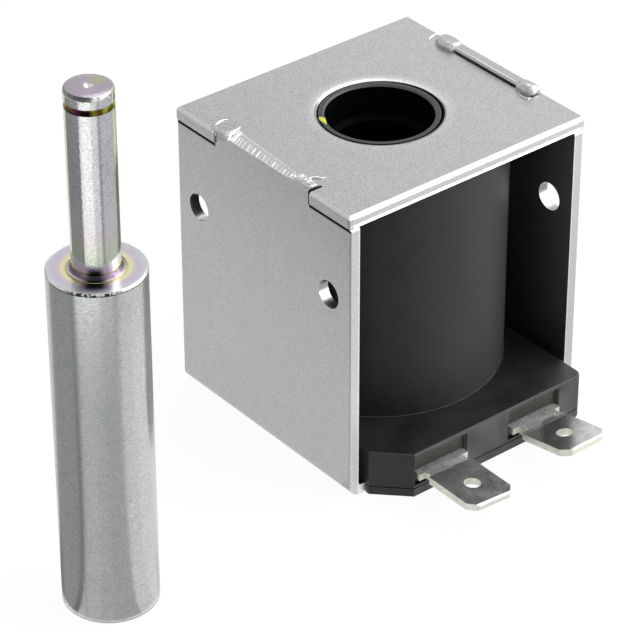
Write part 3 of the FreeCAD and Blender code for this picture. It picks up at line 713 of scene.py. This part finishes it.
def variant(values, **changes):
    # the same values with some of them changed
    return {**values, **changes}


zinc = makeZinc("zincSheetSatin", variant(zincValues, lumpShare=0.85))
plateZinc = makeZinc("zincPlateSatin", variant(
    zincValues, dark=(0.34, 0.343, 0.343, 1), light=(0.52, 0.525, 0.525, 1), sheared=(0.62, 0.63, 0.63, 1),
    toneLow=0.88, rolledShare=1.0, sideShare=0.3, seam=34.3, seamHalf=0.1, bandAxis="Z", bandFrom=34.3,
    bandWidth=0.36, gapShare=1.0, haloShare=0.22, dullShare=1.0, fine=5600.0, cloudShare=0.12))
# zinc on the detail pieces, which has no seam, notch or free bar, so none of their painted shade or light
looseZinc = variant(zincValues, seam=0.0, notchEnd=-50.0, barShare=0.0)
struckZinc = variant(looseZinc, dark=(0.36, 0.363, 0.363, 1), light=(0.54, 0.545, 0.545, 1), rolledShare=0.3,
                     roughLow=0.16, roughHigh=0.26)
lumpZinc = makeZinc("zincStruck", struckZinc)
ballZinc = makeZinc("zincStruckBall", variant(struckZinc, rolledShare=0.0, edge=0.0003))
flushZinc = makeZinc("zincStruckFlush", variant(
    looseZinc, dark=(0.25, 0.253, 0.253, 1), light=(0.44, 0.445, 0.445, 1), fine=3600.0, cloudShare=0.35,
    rolledShare=0.0, edge=0.00002))
hammered = makeHammered("zincHammered", hammeredValues)
burnished = makeZinc("zincBurnished", variant(
    looseZinc, dark=(0.72, 0.727, 0.727, 1), light=(0.93, 0.935, 0.935, 1), roughLow=0.18, roughHigh=0.30))
sheared = makeZinc("zincSheared", variant(
    struckZinc, dark=(0.50, 0.51, 0.51, 1), light=(0.66, 0.67, 0.67, 1), rolledShare=0.0, edge=0.00005,
    roughLow=0.36, roughHigh=0.46))
turned = makeTurned("zincTurned", turnedValues)
black = makeBlack("nylonBlack", variant(blackValues, facing=1.0))
jacketBlack = makeBlack("jacketBlack", variant(
    blackValues, base=(0.005, 0.005, 0.0052, 1), pale=(0.013, 0.013, 0.013, 1), specular=0.38, roughLow=0.42,
    roughHigh=0.54, dust=0.16, asideShare=1.0))
# painted shade: near-black and barely reflecting, for the bore and the sleeve in it
boreBlack = makeBlack("boreBlack", variant(
    blackValues, base=(0.0015, 0.0015, 0.0015, 1), pale=(0.003, 0.003, 0.003, 1), edge=(0.02, 0.02, 0.02, 1),
    speck=(0.006, 0.006, 0.006, 1), specular=0.03, roughLow=0.5, roughHigh=0.6))
flashPlastic = makeBlack("nylonFlash", variant(
    blackValues, base=(0.03, 0.03, 0.029, 1), pale=(0.11, 0.11, 0.105, 1)))
tin = makeTin("tinnedStrip", tinValues)
wire = makeWire("enamelledCopper", wireValues)
tape = makeTape("insulationFilm", tapeValues)
brass = makeBrass("brassPlain", brassValues)
paint = makePaint("markPaint", paintValues)

nodeFinish = {
    "frame": zinc, "top_plate": plateZinc, "bobbin": black, "coil_cover": jacketBlack, "winding": wire,
    "winding_tape": tape, "guide_sleeve": boreBlack, "pole_piece": zinc, "residual_washer": brass,
    "terminal_left": tin, "terminal_right": tin, "start_lead": wire, "finish_lead": wire, "plunger": turned,
}
for nodeName, finish in nodeFinish.items():
    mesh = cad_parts[nodeName].data
    mesh.materials.clear()
    mesh.materials.append(finish)
    if "custom_normal" in mesh.attributes:
        mesh.attributes.remove(mesh.attributes["custom_normal"])
    mesh.shade_smooth()
    mesh.set_sharp_from_angle(angle=math.radians(32))

# painted shade: the inside of the bobbin's barrel gets the same near-black, barely reflecting finish as the
# sleeve in it
barrelInside = {"within": 6.02, "above": 2.0}
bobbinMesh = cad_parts["bobbin"].data
bobbinMesh.materials.append(boreBlack)
for face in bobbinMesh.polygons:
    fromAxis = math.hypot(face.center.x, face.center.y)
    if fromAxis < barrelInside["within"] * mm and face.center.z > barrelInside["above"] * mm:
        face.material_index = 1
print("stage: materials made", len(nodeFinish))


# Detail pieces

def addObject(name, data):
    added = bpy.data.objects.new(name, data)
    bpy.context.scene.collection.objects.link(added)
    return added


def noiseAt(x, y, z):
    return noise.noise(Vector((x, y, z)))


def turnsOf(count):
    # angles in even steps round a full turn
    return [2 * math.pi * i / count for i in range(count)]


def finishPiece(name, vertices, faces, material, body, smoothAngle=50.0):
    mesh = bpy.data.meshes.new(name)
    mesh.from_pydata([tuple(v) for v in vertices], [], faces)
    mesh.update()
    shape = bmesh.new()
    shape.from_mesh(mesh)
    bmesh.ops.recalc_face_normals(shape, faces=shape.faces)
    shape.to_mesh(mesh)
    shape.free()
    mesh.materials.append(material)
    mesh.shade_smooth()
    mesh.set_sharp_from_angle(angle=math.radians(smoothAngle))
    piece = addObject(name, mesh)
    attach(piece, body)
    return piece


def ringFaces(count, sides, closed=False):
    # faces between rings that follow one another, with a cap at each end unless they close on themselves
    faces = []
    for j in range(count if closed else count - 1):
        n = (j + 1) % count
        for i in range(sides):
            k = (i + 1) % sides
            faces.append((j * sides + i, j * sides + k, n * sides + k, n * sides + i))
    if not closed:
        faces.append(tuple(range(sides)))
        faces.append(tuple((count - 1) * sides + i for i in range(sides)))
    return faces


def reliefPatch(name, corners, base, sink, heightAt, countU, countV, material, slotName):
    # a closed skin over a four-cornered patch; heightAt gives its height in mm and how much burnish and painted
    # highlight it carries
    rearOuter, rearInner, frontInner, frontOuter = [np.array(c, float) for c in corners]
    top = []
    wear = []
    for j in range(countV):
        v = j / (countV - 1)
        outer = rearOuter + (frontOuter - rearOuter) * v
        inner = rearInner + (frontInner - rearInner) * v
        for i in range(countU):
            u = i / (countU - 1)
            x, y = outer + (inner - outer) * u
            height, worn = heightAt(u, v, x, y)
            wear.append(worn)
            top.append((x * mm, y * mm, (base + height) * mm))
    low = [(x, y, (base - sink) * mm) for x, y, _ in top]
    lower = len(top)
    faces = []
    for j in range(countV - 1):
        for i in range(countU - 1):
            a = j * countU + i
            faces.append((a, a + 1, a + countU + 1, a + countU))
            faces.append((lower + a, lower + a + countU, lower + a + countU + 1, lower + a + 1))
    rim = list(range(countU))
    rim += [j * countU + countU - 1 for j in range(1, countV)]
    rim += [(countV - 1) * countU + i for i in range(countU - 2, -1, -1)]
    rim += [j * countU for j in range(countV - 2, 0, -1)]
    for a, b in zip(rim, rim[1:] + rim[:1]):
        faces.append((a, lower + a, lower + b, b))
    piece = finishPiece(name, top + low, faces, material, "solenoid")
    worn = piece.data.attributes.new(hammeredValues["attribute"], "FLOAT", "POINT")
    worn.data.foreach_set("value", wear + [0.0] * lower)


def roundedLump(name, centre, size, square, roughness, seed, material, wallFace, smoothAngle):
    # a superellipsoid with dents; square below 1 is boxier than a ball; wallFace cuts it flush with a wall
    rings, sides = 26, 40
    points = []
    for j in range(rings + 1):
        tilt = math.pi * (j / rings - 0.5)
        for turn in turnsOf(sides):
            direction = []
            for value in (math.cos(tilt) * math.cos(turn), math.cos(tilt) * math.sin(turn), math.sin(tilt)):
                direction.append(math.copysign(abs(value) ** square, value))
            p = Vector(direction)
            dent = noise.noise(p * 1.7 + Vector((seed, seed * 0.3, 1)))
            dent += 0.5 * noise.noise(p * 4.1 + Vector((1, seed, 2)))
            p *= 1 + roughness * dent
            x, y, z = (centre[k] + p[k] * size[k] / 2 for k in range(3))
            z = max(z, centre[2] - size[2] / 2 + 0.02)
            x = max(x, wallFace)
            points.append((x * mm, y * mm, z * mm))
    piece = finishPiece(name, points, ringFaces(rings + 1, sides), material, "solenoid", smoothAngle)
    shape = bmesh.new()
    shape.from_mesh(piece.data)
    bmesh.ops.remove_doubles(shape, verts=shape.verts, dist=1e-7)
    bmesh.ops.recalc_face_normals(shape, faces=shape.faces)
    shape.to_mesh(piece.data)
    shape.free()


def bead(name, path, radii, material, body, closed=False, sides=10):
    # a round bead along a path in mm, with its own radius at each point
    points = [Vector(p) for p in path]
    count = len(points)
    vertices = []
    for i, p in enumerate(points):
        after = points[(i + 1) % count] if closed or i < count - 1 else p
        before = points[(i - 1) % count] if closed or i > 0 else p
        forward = (after - before).normalized()
        side = forward.cross(Vector((0, 0, 1))).normalized()
        up = side.cross(forward).normalized()
        for turn in turnsOf(sides):
            vertices.append((p + (side * math.cos(turn) + up * math.sin(turn)) * radii[i]) * mm)
    finishPiece(name, vertices, ringFaces(count, sides, closed), material, body)


# the left tongue, hammered flush in a row of small strokes
hammerValues = {
    # rear outer, rear inner, front inner and front outer corner
    "corners": [(-16.3, 5.5), (-14.15, 6.6), (-14.9, -4.2), (-16.25, -4.6)], "lift": 0.02, "sink": 0.12,
    # strokes: how many, how far across, how high, half their width, how much they slant
    "rungs": 18, "rungReach": 0.62, "rungHeight": 0.06, "rungHalf": 0.19, "slant": 0.5,
    "rungShift": 0.22, "rungStrength": (0.35, 1.0), "seed": 11,
    # the raised rim along the inner edge and the facet at the rear end, with burnish and a painted highlight
    "rimAt": 0.86, "rimHalf": 0.03, "rimHeight": 0.05, "facetAt": 0.045, "facetHalf": 0.035, "facetHeight": 0.09,
    "cells": (40, 260),
}


def makeHammeredStrip(values):
    generator = np.random.default_rng(values["seed"])
    shifts = generator.uniform(-values["rungShift"], values["rungShift"], values["rungs"] + 2)
    strengths = generator.uniform(*values["rungStrength"], values["rungs"] + 2)

    def heightAt(u, v, x, y):
        place = v * values["rungs"] + values["slant"] * u
        rung = 0.0
        for k in range(int(place) - 1, int(place) + 3):
            if 0 <= k < len(shifts):
                away = (place - k - shifts[k]) / values["rungHalf"]
                rung += strengths[k] * math.exp(-away * away)
        rung *= 1 / (1 + math.exp((u - values["rungReach"]) / 0.025))
        rim = math.exp(-((u - values["rimAt"]) / values["rimHalf"]) ** 2) + 0.5 * math.exp(-(u / 0.05) ** 2)
        facet = math.exp(-((v - values["facetAt"]) / values["facetHalf"]) ** 4)
        facet *= 0.6 + 0.6 * noiseAt(x * 4, y * 6, 2)
        height = 0.012 * noiseAt(x * 5, y * 5, 0)
        height += values["rungHeight"] * rung + values["rimHeight"] * rim + values["facetHeight"] * facet
        border = min(1, min(u, 1 - u) * 14) * min(1, min(v, 1 - v) * 60)
        # burnish and painted highlight on the rungs, the rim and the facet
        worn = min(1.0, 0.95 * rung ** 2 + 0.8 * rim ** 2 + 1.2 * max(0.0, facet) ** 2)
        return values["lift"] + height * border, worn

    reliefPatch("hammeredStrip", values["corners"], topLevel, values["sink"], heightAt, *values["cells"],
                hammered, "zinc_sheet")


makeHammeredStrip(hammerValues)

# the lumps that are spread over the notches' ends: centre, size, squareness, dents, seed, finish,
# the wall's face that cuts them flush, the angle from which an edge is sharp
lumpValues = {
    "spreadRightRear": ((15.4, 6.4, topLevel + 0.12), (2.2, 3.15, 1.5), 0.72, 0.035, 3.0, lumpZinc, -99.0, 50.0),
    "spreadRightNear": ((15.45, -6.55, topLevel + 0.15), (2.05, 2.85, 1.7), 0.9, 0.05, 7.0, ballZinc, -99.0,
                        50.0),
    "spreadLeftRear": ((-15.15, 7.35, topLevel - 0.32), (3.1, 2.9, 1.1), 0.8, 0.03, 9.0, flushZinc, -16.256,
                       22.0),
}
for lumpName, (centre, lumpSize, square, dents, seed, finish, wallFace, smoothAngle) in lumpValues.items():
    roundedLump(lumpName, centre, lumpSize, square, dents, seed, finish, wallFace, smoothAngle)

# torn edges: path in mm, thickness, finish
burrValues = {
    "spreadLeftBurr": ([(-16.3, 7.75, 35.3), (-16.2, 8.2, 35.7), (-15.75, 8.6, 35.95), (-15.1, 8.85, 36.02),
                        (-14.5, 8.9, 36.02), (-14.0, 8.65, 36.0), (-13.75, 8.1, 35.96)], 0.13, burnished),
    "spreadLeftFacet": ([(-16.3, 5.6, 35.75), (-15.8, 6.0, 35.95), (-15.1, 6.25, 36.0), (-14.3, 6.55, 35.95)],
                        0.2, burnished),
    "spreadRightLip": ([(14.4, -6.4, 35.8), (14.1, -7.0, 35.82), (13.98, -7.6, 35.82), (14.2, -8.08, 35.82),
                        (14.6, -8.05, 35.8)], 0.17, ballZinc),
    "spreadRightRearLip": ([(14.65, 8.95, 35.79), (15.3, 9.27, 35.81), (15.77, 9.31, 35.81), (16.1, 9.1, 35.8),
                            (16.2, 8.7, 35.78)], 0.11, burnished),
    "barInnerEdge": ([(15.06, -5.0, 36.35), (15.04, -2.0, 36.35), (15.05, 1.5, 36.35), (15.06, 5.0, 36.35)],
                     0.085, burnished),
    "barRearFacet": ([(15.15, 5.35, 36.3), (15.5, 5.2, 36.42), (15.95, 5.15, 36.4)], 0.12, burnished),
    "struckCurl": ([(-14.95, -6.15, 35.9), (-14.4, -6.2, 35.95), (-13.95, -6.45, 35.9), (-13.7, -6.85, 35.84),
                    (-13.3, -7.0, 35.82), (-13.1, -7.3, 35.8)], 0.085, burnished),
    "struckFleckA": ([(-15.75, -6.45, 36.0), (-15.3, -6.25, 36.08), (-14.85, -6.05, 36.0)], 0.10, burnished),
    "struckFleckB": ([(-16.05, -7.1, 35.95), (-15.6, -7.0, 36.05), (-15.05, -6.85, 36.0)], 0.11, burnished),
    "struckFleckC": ([(-15.6, -6.75, 36.02), (-15.1, -6.6, 36.06), (-14.7, -6.75, 35.95)], 0.07, burnished),
}


def makeBurr(name, path, thick, finish):
    points, radii = [], []
    for k in range(len(path) - 1):
        for step in range(6):
            share = step / 6
            x, y, z = (path[k][a] * (1 - share) + path[k + 1][a] * share for a in range(3))
            rough = noiseAt(x * 2.5, y * 2.5, 4)
            points.append((x + 0.05 * rough, y, z + 0.05 * noiseAt(x * 3, y * 3, 8)))
            place = (k + share) / (len(path) - 1)
            radii.append(thick * (0.4 + 0.6 * math.sin(math.pi * min(1, place + 0.08))) * (1 + 0.35 * rough))
    bead(name, points, radii, finish, "solenoid")


for burrName, (path, thick, finish) in burrValues.items():
    makeBurr(burrName, path, thick, finish)

# the near end of the left tongue: torn flecks and one small dent
struckValues = {"corners": ((-16.2, -4.85), (-14.8, -4.85), (-15.0, -7.75), (-16.05, -7.6)), "base": 0.27,
                "sink": 0.33, "height": 0.34, "cells": (44, 90),
                "dent": (-14.98, -7.45), "dentRadius": 0.16, "dentDepth": 0.25}


def makeStruckEnd(values):
    def heightAt(u, v, x, y):
        ridge = 1 - abs(noiseAt(x * 2.4, y * 2.0, 5)) * 3.2
        fleck = max(0.0, ridge) * max(0.0, noiseAt(x * 5, y * 4, 1) + 0.7)
        edge = min(1, min(u, 1 - u) * 6) * min(1, min(v, 1 - v) * 8)
        away = math.hypot(x - values["dent"][0], y - values["dent"][1]) / values["dentRadius"]
        dent = math.exp(-away ** 4)
        height = values["height"] * fleck * edge - values["dentDepth"] * dent - 0.2 * (1 - edge)
        return height, min(1.0, 1.3 * fleck * (1 - dent))

    reliefPatch("struckLeftNear", values["corners"], topLevel + values["base"], values["sink"], heightAt,
                *values["cells"], hammered, "zinc_sheet")


makeStruckEnd(struckValues)

# the ragged border where the plate's rolled front edge meets the sheared face
rollValues = {"halfLength": 16.05, "front": -14.83, "level": 35.42, "thick": 0.075, "steps": 300}


def makeRollBorder(values):
    points, radii = [], []
    for i in range(values["steps"] + 1):
        x = values["halfLength"] * (2 * i / values["steps"] - 1)
        wave = noiseAt(x * 2.1, 6, 0) + 0.8 * noiseAt(x * 6.5, 2, 3)
        points.append((x, values["front"] + 0.03, values["level"] + 0.035 * wave))
        radii.append(values["thick"] * (1 + 0.6 * wave))
    bead("plateRollBorder", points, radii, sheared, "solenoid")


makeRollBorder(rollValues)

# fine bright lines along the plate's lower front edge, where the shears left two steps
plateLines = {"halfLength": 15.9, "front": -14.8, "base": 34.04, "steps": 260,
              "levels": ((0.33, 0.062, 1.0), (0.60, 0.04, 4.0))}   # height, thickness and seed of each


def makePlateLines(values):
    for index, (level, thick, seed) in enumerate(values["levels"]):
        points, radii = [], []
        for i in range(values["steps"] + 1):
            x = values["halfLength"] * (2 * i / values["steps"] - 1)
            wave = noiseAt(x * 1.3, seed, 0) + 0.6 * noiseAt(x * 5, seed, 3)
            points.append((x, values["front"] + 0.01, values["base"] + level + 0.03 * wave))
            radii.append(thick * (1 + 0.5 * wave))
        bead("plateFrontLine" + "AB"[index], points, radii, burnished, "solenoid")


makePlateLines(plateLines)

# the thin flash line round the jacket's foot
flashValues = {"radius": 14.21, "level": 5.57, "thick": 0.042, "segments": 240}


def makeFlashLine(values):
    path, radii = [], []
    for turn in turnsOf(values["segments"]):
        path.append((values["radius"] * math.cos(turn), values["radius"] * math.sin(turn), values["level"]))
        wave = noiseAt(math.cos(turn) * 9, math.sin(turn) * 9, 0)
        radii.append(values["thick"] * (0.75 + 0.45 * wave))
    bead("coverFlashLine", path, radii, flashPlastic, "solenoid", closed=True, sides=8)


makeFlashLine(flashValues)

# a dab of paint across the barrel's rim
markValues = {"centre": (-5.83, 2.46), "along": 1.75, "across": 0.58, "level": 35.7, "thick": 0.07,
              "turn": 72.0, "rings": 7, "segments": 28}


def makeMark(values):
    countRing, countTurn = values["rings"], values["segments"]
    turn = math.radians(values["turn"])
    centreX, centreY = values["centre"]
    points = [(centreX * mm, centreY * mm, (values["level"] + values["thick"]) * mm)]
    for j in range(1, countRing + 1):
        share = j / countRing
        for angle in turnsOf(countTurn):
            wobble = 1 + 0.25 * noiseAt(math.cos(angle) * 2, math.sin(angle) * 2, 3)
            a = values["along"] / 2 * share * wobble * math.cos(angle)
            c = values["across"] / 2 * share * wobble * math.sin(angle) * (1 + 0.75 * math.cos(angle))
            x = centreX + a * math.cos(turn) - c * math.sin(turn)
            y = centreY + a * math.sin(turn) + c * math.cos(turn)
            points.append((x * mm, y * mm, (values["level"] + values["thick"] * (1 - share ** 3)) * mm))
    last = len(points)
    points += [(x, y, z - 0.03 * mm) for x, y, z in points[last - countTurn:last]]
    faces = [(0, 1 + i, 1 + (i + 1) % countTurn) for i in range(countTurn)]
    for j in range(countRing):
        for i in range(countTurn):
            a = 1 + j * countTurn + i
            b = 1 + j * countTurn + (i + 1) % countTurn
            faces.append((a, a + countTurn, b + countTurn, b))
    faces.append(tuple(last + i for i in range(countTurn)))
    finishPiece("paintMark", points, faces, paint, "solenoid")


makeMark(markValues)

# the ring at the rod's root and the burr on the shoulder: radius, level, thickness, how much they wander
plungerRings = {"rodRootRing": (3.0, shoulderLevel + 0.02, 0.09, 0.1),
                "shoulderBurr": (5.0, shoulderLevel - 0.09, 0.07, 0.5)}
ringSegments = 160


def makePlungerRings(rings):
    for name, (radius, level, thick, wander) in rings.items():
        path, radii = [], []
        for turn in turnsOf(ringSegments):
            shift = noiseAt(math.cos(turn) * 14, math.sin(turn) * 14, radius)
            path.append((plungerAxis[0] + radius * math.cos(turn), plungerAxis[1] + radius * math.sin(turn),
                         level + 0.05 * wander * shift))
            radii.append(thick * (1 + wander * shift))
        bead(name, path, radii, turned, "plunger", closed=True)


makePlungerRings(plungerRings)

# the rod's tip: its rim is rounded over and a little torn; radius and height in mm round the axis
tipValues = {"profile": [(0.62, 60.66), (0.64, 60.712), (1.5, 60.714), (2.24, 60.712), (2.36, 60.66),
                         (2.44, 60.56), (2.48, 60.42), (2.497, 60.22), (2.40, 60.16), (1.9, 60.55)],
             "torn": (4, 5, 6), "depth": 0.05, "segments": 120}


def makeTipRim(values):
    points, faces = [], []
    rows = len(values["profile"])
    for turn in turnsOf(values["segments"]):
        for k, (radius, level) in enumerate(values["profile"]):
            if k in values["torn"]:
                radius += values["depth"] * noiseAt(math.cos(turn) * 11, math.sin(turn) * 11, k)
            points.append(((plungerAxis[0] + radius * math.cos(turn)) * mm,
                           (plungerAxis[1] + radius * math.sin(turn)) * mm, level * mm))
    for i in range(values["segments"]):
        j = (i + 1) % values["segments"]
        for k in range(rows):
            n = (k + 1) % rows
            faces.append((i * rows + k, j * rows + k, j * rows + n, i * rows + n))
    finishPiece("rodTipRim", points, faces, turned, "plunger", smoothAngle=60.0)


makeTipRim(tipValues)
print("stage: detail pieces made")


# Floor, light and camera

studio = {
    "floorSize": 3.0, "floorColour": (0.88, 0.88, 0.88, 1), "floorRough": 0.9, "floorWhite": 0.88,
    "floorGlow": 1.05, "worldStrength": 0.55,
    # the tent's bright side to the right and its dark side to the left and behind the camera
    "softbox": (0.75, -0.25, 0.61), "softboxGain": 1.1, "softboxReach": (0.7, 0.92),
    "dark": (-0.796, 0.048, 0.602), "darkLevel": 0.8, "darkReach": (0.35, 0.78),
}
# power, size and place of each lamp
lampValues = {"keyLamp": (0.7, 0.5, (0.35, 0.25, 0.75)), "fillLamp": (2.0, 0.4, (0.42, -0.75, 0.12)),
              "sideLamp": (1.5, 0.45, (0.62, -0.38, 0.40))}

# Cards that only reflections see, as a photographer sets them round turned metal: sectors on the floor
# about the plunger, from angle, to angle (degrees, 0 towards the camera, positive to its right),
# from radius, to radius (mm), brightness
reflectorCards = [
    ("cardLeft", -128, -56, 5.6, 64, 0.325),
    ("cardLeftFar", -128, -56, 64, 120, 0.30),
    ("cardLeftLine", -56, -46, 5.6, 64, 0.19),
    ("cardFront", -46, -12, 5.6, 64, 0.52),
    ("cardFrontMiddle", -12, 8, 5.6, 64, 0.47),
    ("cardFrontRight", 8, 36, 5.6, 64, 0.43),
    ("cardLine", 36, 46, 5.6, 64, 0.42),
    ("cardRight", 46, 78, 5.6, 64, 0.70),
    ("cardRightEdge", 78, 128, 5.6, 64, 0.80),
    ("cardLeftLineFar", -56, -46, 64, 120, 0.26),
    ("cardFrontFar", -46, 6, 64, 120, 1.12),
    ("cardFrontRightFar", 6, 36, 64, 120, 0.78),
    ("cardLineFar", 36, 47, 64, 120, 0.34),
    ("cardRightFar", 47, 128, 64, 120, 0.60),
]
cardAzimuth = -39.0


def seenDirectly(tree):
    # 1 for rays from the camera, from a reflection or through glass
    path = addNode(tree, "ShaderNodeLightPath").outputs
    both = larger(tree, path["Is Camera Ray"], path["Is Glossy Ray"])
    return larger(tree, both, path["Is Transmission Ray"])


def makeFloor(values):
    half = values["floorSize"] / 2
    corners = [(x, y, standLevel * mm) for x, y in ((-half, -half), (half, -half), (half, half), (-half, half))]
    mesh = bpy.data.meshes.new("studioFloor")
    mesh.from_pydata(corners, [], [(0, 1, 2, 3)])
    floor = addObject("studioFloor", mesh)
    material, tree, shader = newMaterial("floorPale")
    fillInputs(tree, shader, {"Base Color": values["floorColour"], "Roughness": values["floorRough"]})
    glow = addNode(tree, "ShaderNodeEmission", {"Color": (1, 1, 1, 1), "Strength": values["floorGlow"]})
    share = product(tree, seenDirectly(tree), values["floorWhite"])
    mix = addNode(tree, "ShaderNodeMixShader", {0: share, 1: shader.outputs[0], 2: glow.outputs[0]})
    tree.links.new(mix.outputs[0], tree.nodes["Material Output"].inputs["Surface"])
    mesh.materials.append(material)


def makeLamp(name, power, size, place, target=(0.0, 0.0, 0.02)):
    lamp = bpy.data.lights.new(name, "AREA")
    lamp.energy = power
    lamp.size = size
    body = addObject(name, lamp)
    body.location = place
    body.rotation_mode = "QUATERNION"
    body.rotation_quaternion = (Vector(target) - Vector(place)).to_track_quat("-Z", "Y")


def lobe(tree, direction, toward, low, high):
    # 0 outside and 1 inside a round part of the sky about a direction
    length = math.sqrt(sum(part * part for part in toward))
    unit = tuple(part / length for part in toward)
    dot = addNode(tree, "ShaderNodeVectorMath", {0: direction, 1: unit}, operation="DOT_PRODUCT")
    return addNode(tree, "ShaderNodeMapRange", {"Value": dot.outputs["Value"], "From Min": low, "From Max": high},
                   interpolation_type="SMOOTHSTEP").outputs["Result"]


def makeWorld(values):
    world = bpy.data.worlds.new("studioWorld")
    world.use_nodes = True
    bpy.context.scene.world = world
    tree = world.node_tree
    background = tree.nodes["Background"]
    background.inputs["Color"].default_value = (1, 1, 1, 1)
    direction = addNode(tree, "ShaderNodeTexCoord").outputs["Generated"]
    path = addNode(tree, "ShaderNodeLightPath").outputs
    level = rangeNode(tree, seenDirectly(tree), 0.0, 1.0, values["worldStrength"], 1.0)
    bright = lobe(tree, direction, values["softbox"], *values["softboxReach"])
    bright = product(tree, bright, values["softboxGain"])
    dark = lobe(tree, direction, values["dark"], *values["darkReach"])
    dark = rangeNode(tree, dark, 0.0, 1.0, 1.0, values["darkLevel"])
    tent = total(tree, product(tree, level, dark), bright)
    plain = larger(tree, path["Is Camera Ray"], path["Is Transmission Ray"])
    strength = addNode(tree, "ShaderNodeMix", {"Factor": plain, 2: tent, 3: 1.0})
    tree.links.new(strength.outputs[0], background.inputs["Strength"])


def makeReflectorCards(cards, centre, azimuth):
    turn = math.radians(azimuth)
    toCamera = Vector((math.sin(turn), -math.cos(turn)))
    toRight = Vector((math.cos(turn), math.sin(turn)))
    steps = 12
    for name, start, end, inner, outer, brightness in cards:
        points = []
        for radius in (inner, outer):
            for i in range(steps + 1):
                angle = math.radians(start + (end - start) * i / steps)
                p = toCamera * (radius * math.cos(angle)) + toRight * (radius * math.sin(angle))
                points.append(((centre[0] + p.x) * mm, (centre[1] + p.y) * mm, (standLevel + 0.05) * mm))
        faces = [(i, i + 1, steps + 2 + i, steps + 1 + i) for i in range(steps)]
        mesh = bpy.data.meshes.new(name)
        mesh.from_pydata(points, [], faces)
        card = addObject(name, mesh)
        material, tree, _ = newMaterial(name)
        glow = addNode(tree, "ShaderNodeEmission", {"Color": (1, 1, 1, 1), "Strength": brightness})
        tree.links.new(glow.outputs[0], tree.nodes["Material Output"].inputs["Surface"])
        mesh.materials.append(material)
        card.visible_camera = card.visible_diffuse = card.visible_transmission = card.visible_shadow = False


makeFloor(studio)
makeReflectorCards(reflectorCards, plungerAxis, cardAzimuth)
makeWorld(studio)
for lampName, (power, lampSize, lampPlace) in lampValues.items():
    makeLamp(lampName, power, lampSize, lampPlace)

cameraValues = {"azimuth": -39.022, "elevation": 33.553, "roll": -0.068, "lens": 186.9,
                "place": (-0.20077, -0.23745, 0.21504)}


def makeCamera(values):
    turn = math.radians(values["azimuth"])
    lift = math.radians(values["elevation"])
    roll = math.radians(values["roll"])
    back = Vector((math.sin(turn) * math.cos(lift), -math.cos(turn) * math.cos(lift), math.sin(lift)))
    right = Vector((math.cos(turn), math.sin(turn), 0))
    up = back.cross(right)
    rolledRight = right * math.cos(roll) + up * math.sin(roll)
    rolledUp = up * math.cos(roll) - right * math.sin(roll)
    lens = bpy.data.cameras.new("photoCamera")
    lens.lens = values["lens"]
    lens.sensor_width = 36.0
    lens.clip_start = 0.01
    lens.clip_end = 10.0
    camera = addObject("photoCamera", lens)
    camera.matrix_world = Matrix.Translation(values["place"]) @ Matrix(
        (rolledRight, rolledUp, back)).transposed().to_4x4()
    bpy.context.scene.camera = camera


makeCamera(cameraValues)
bpy.context.scene.view_settings.view_transform = "Standard"
print("stage: studio made")
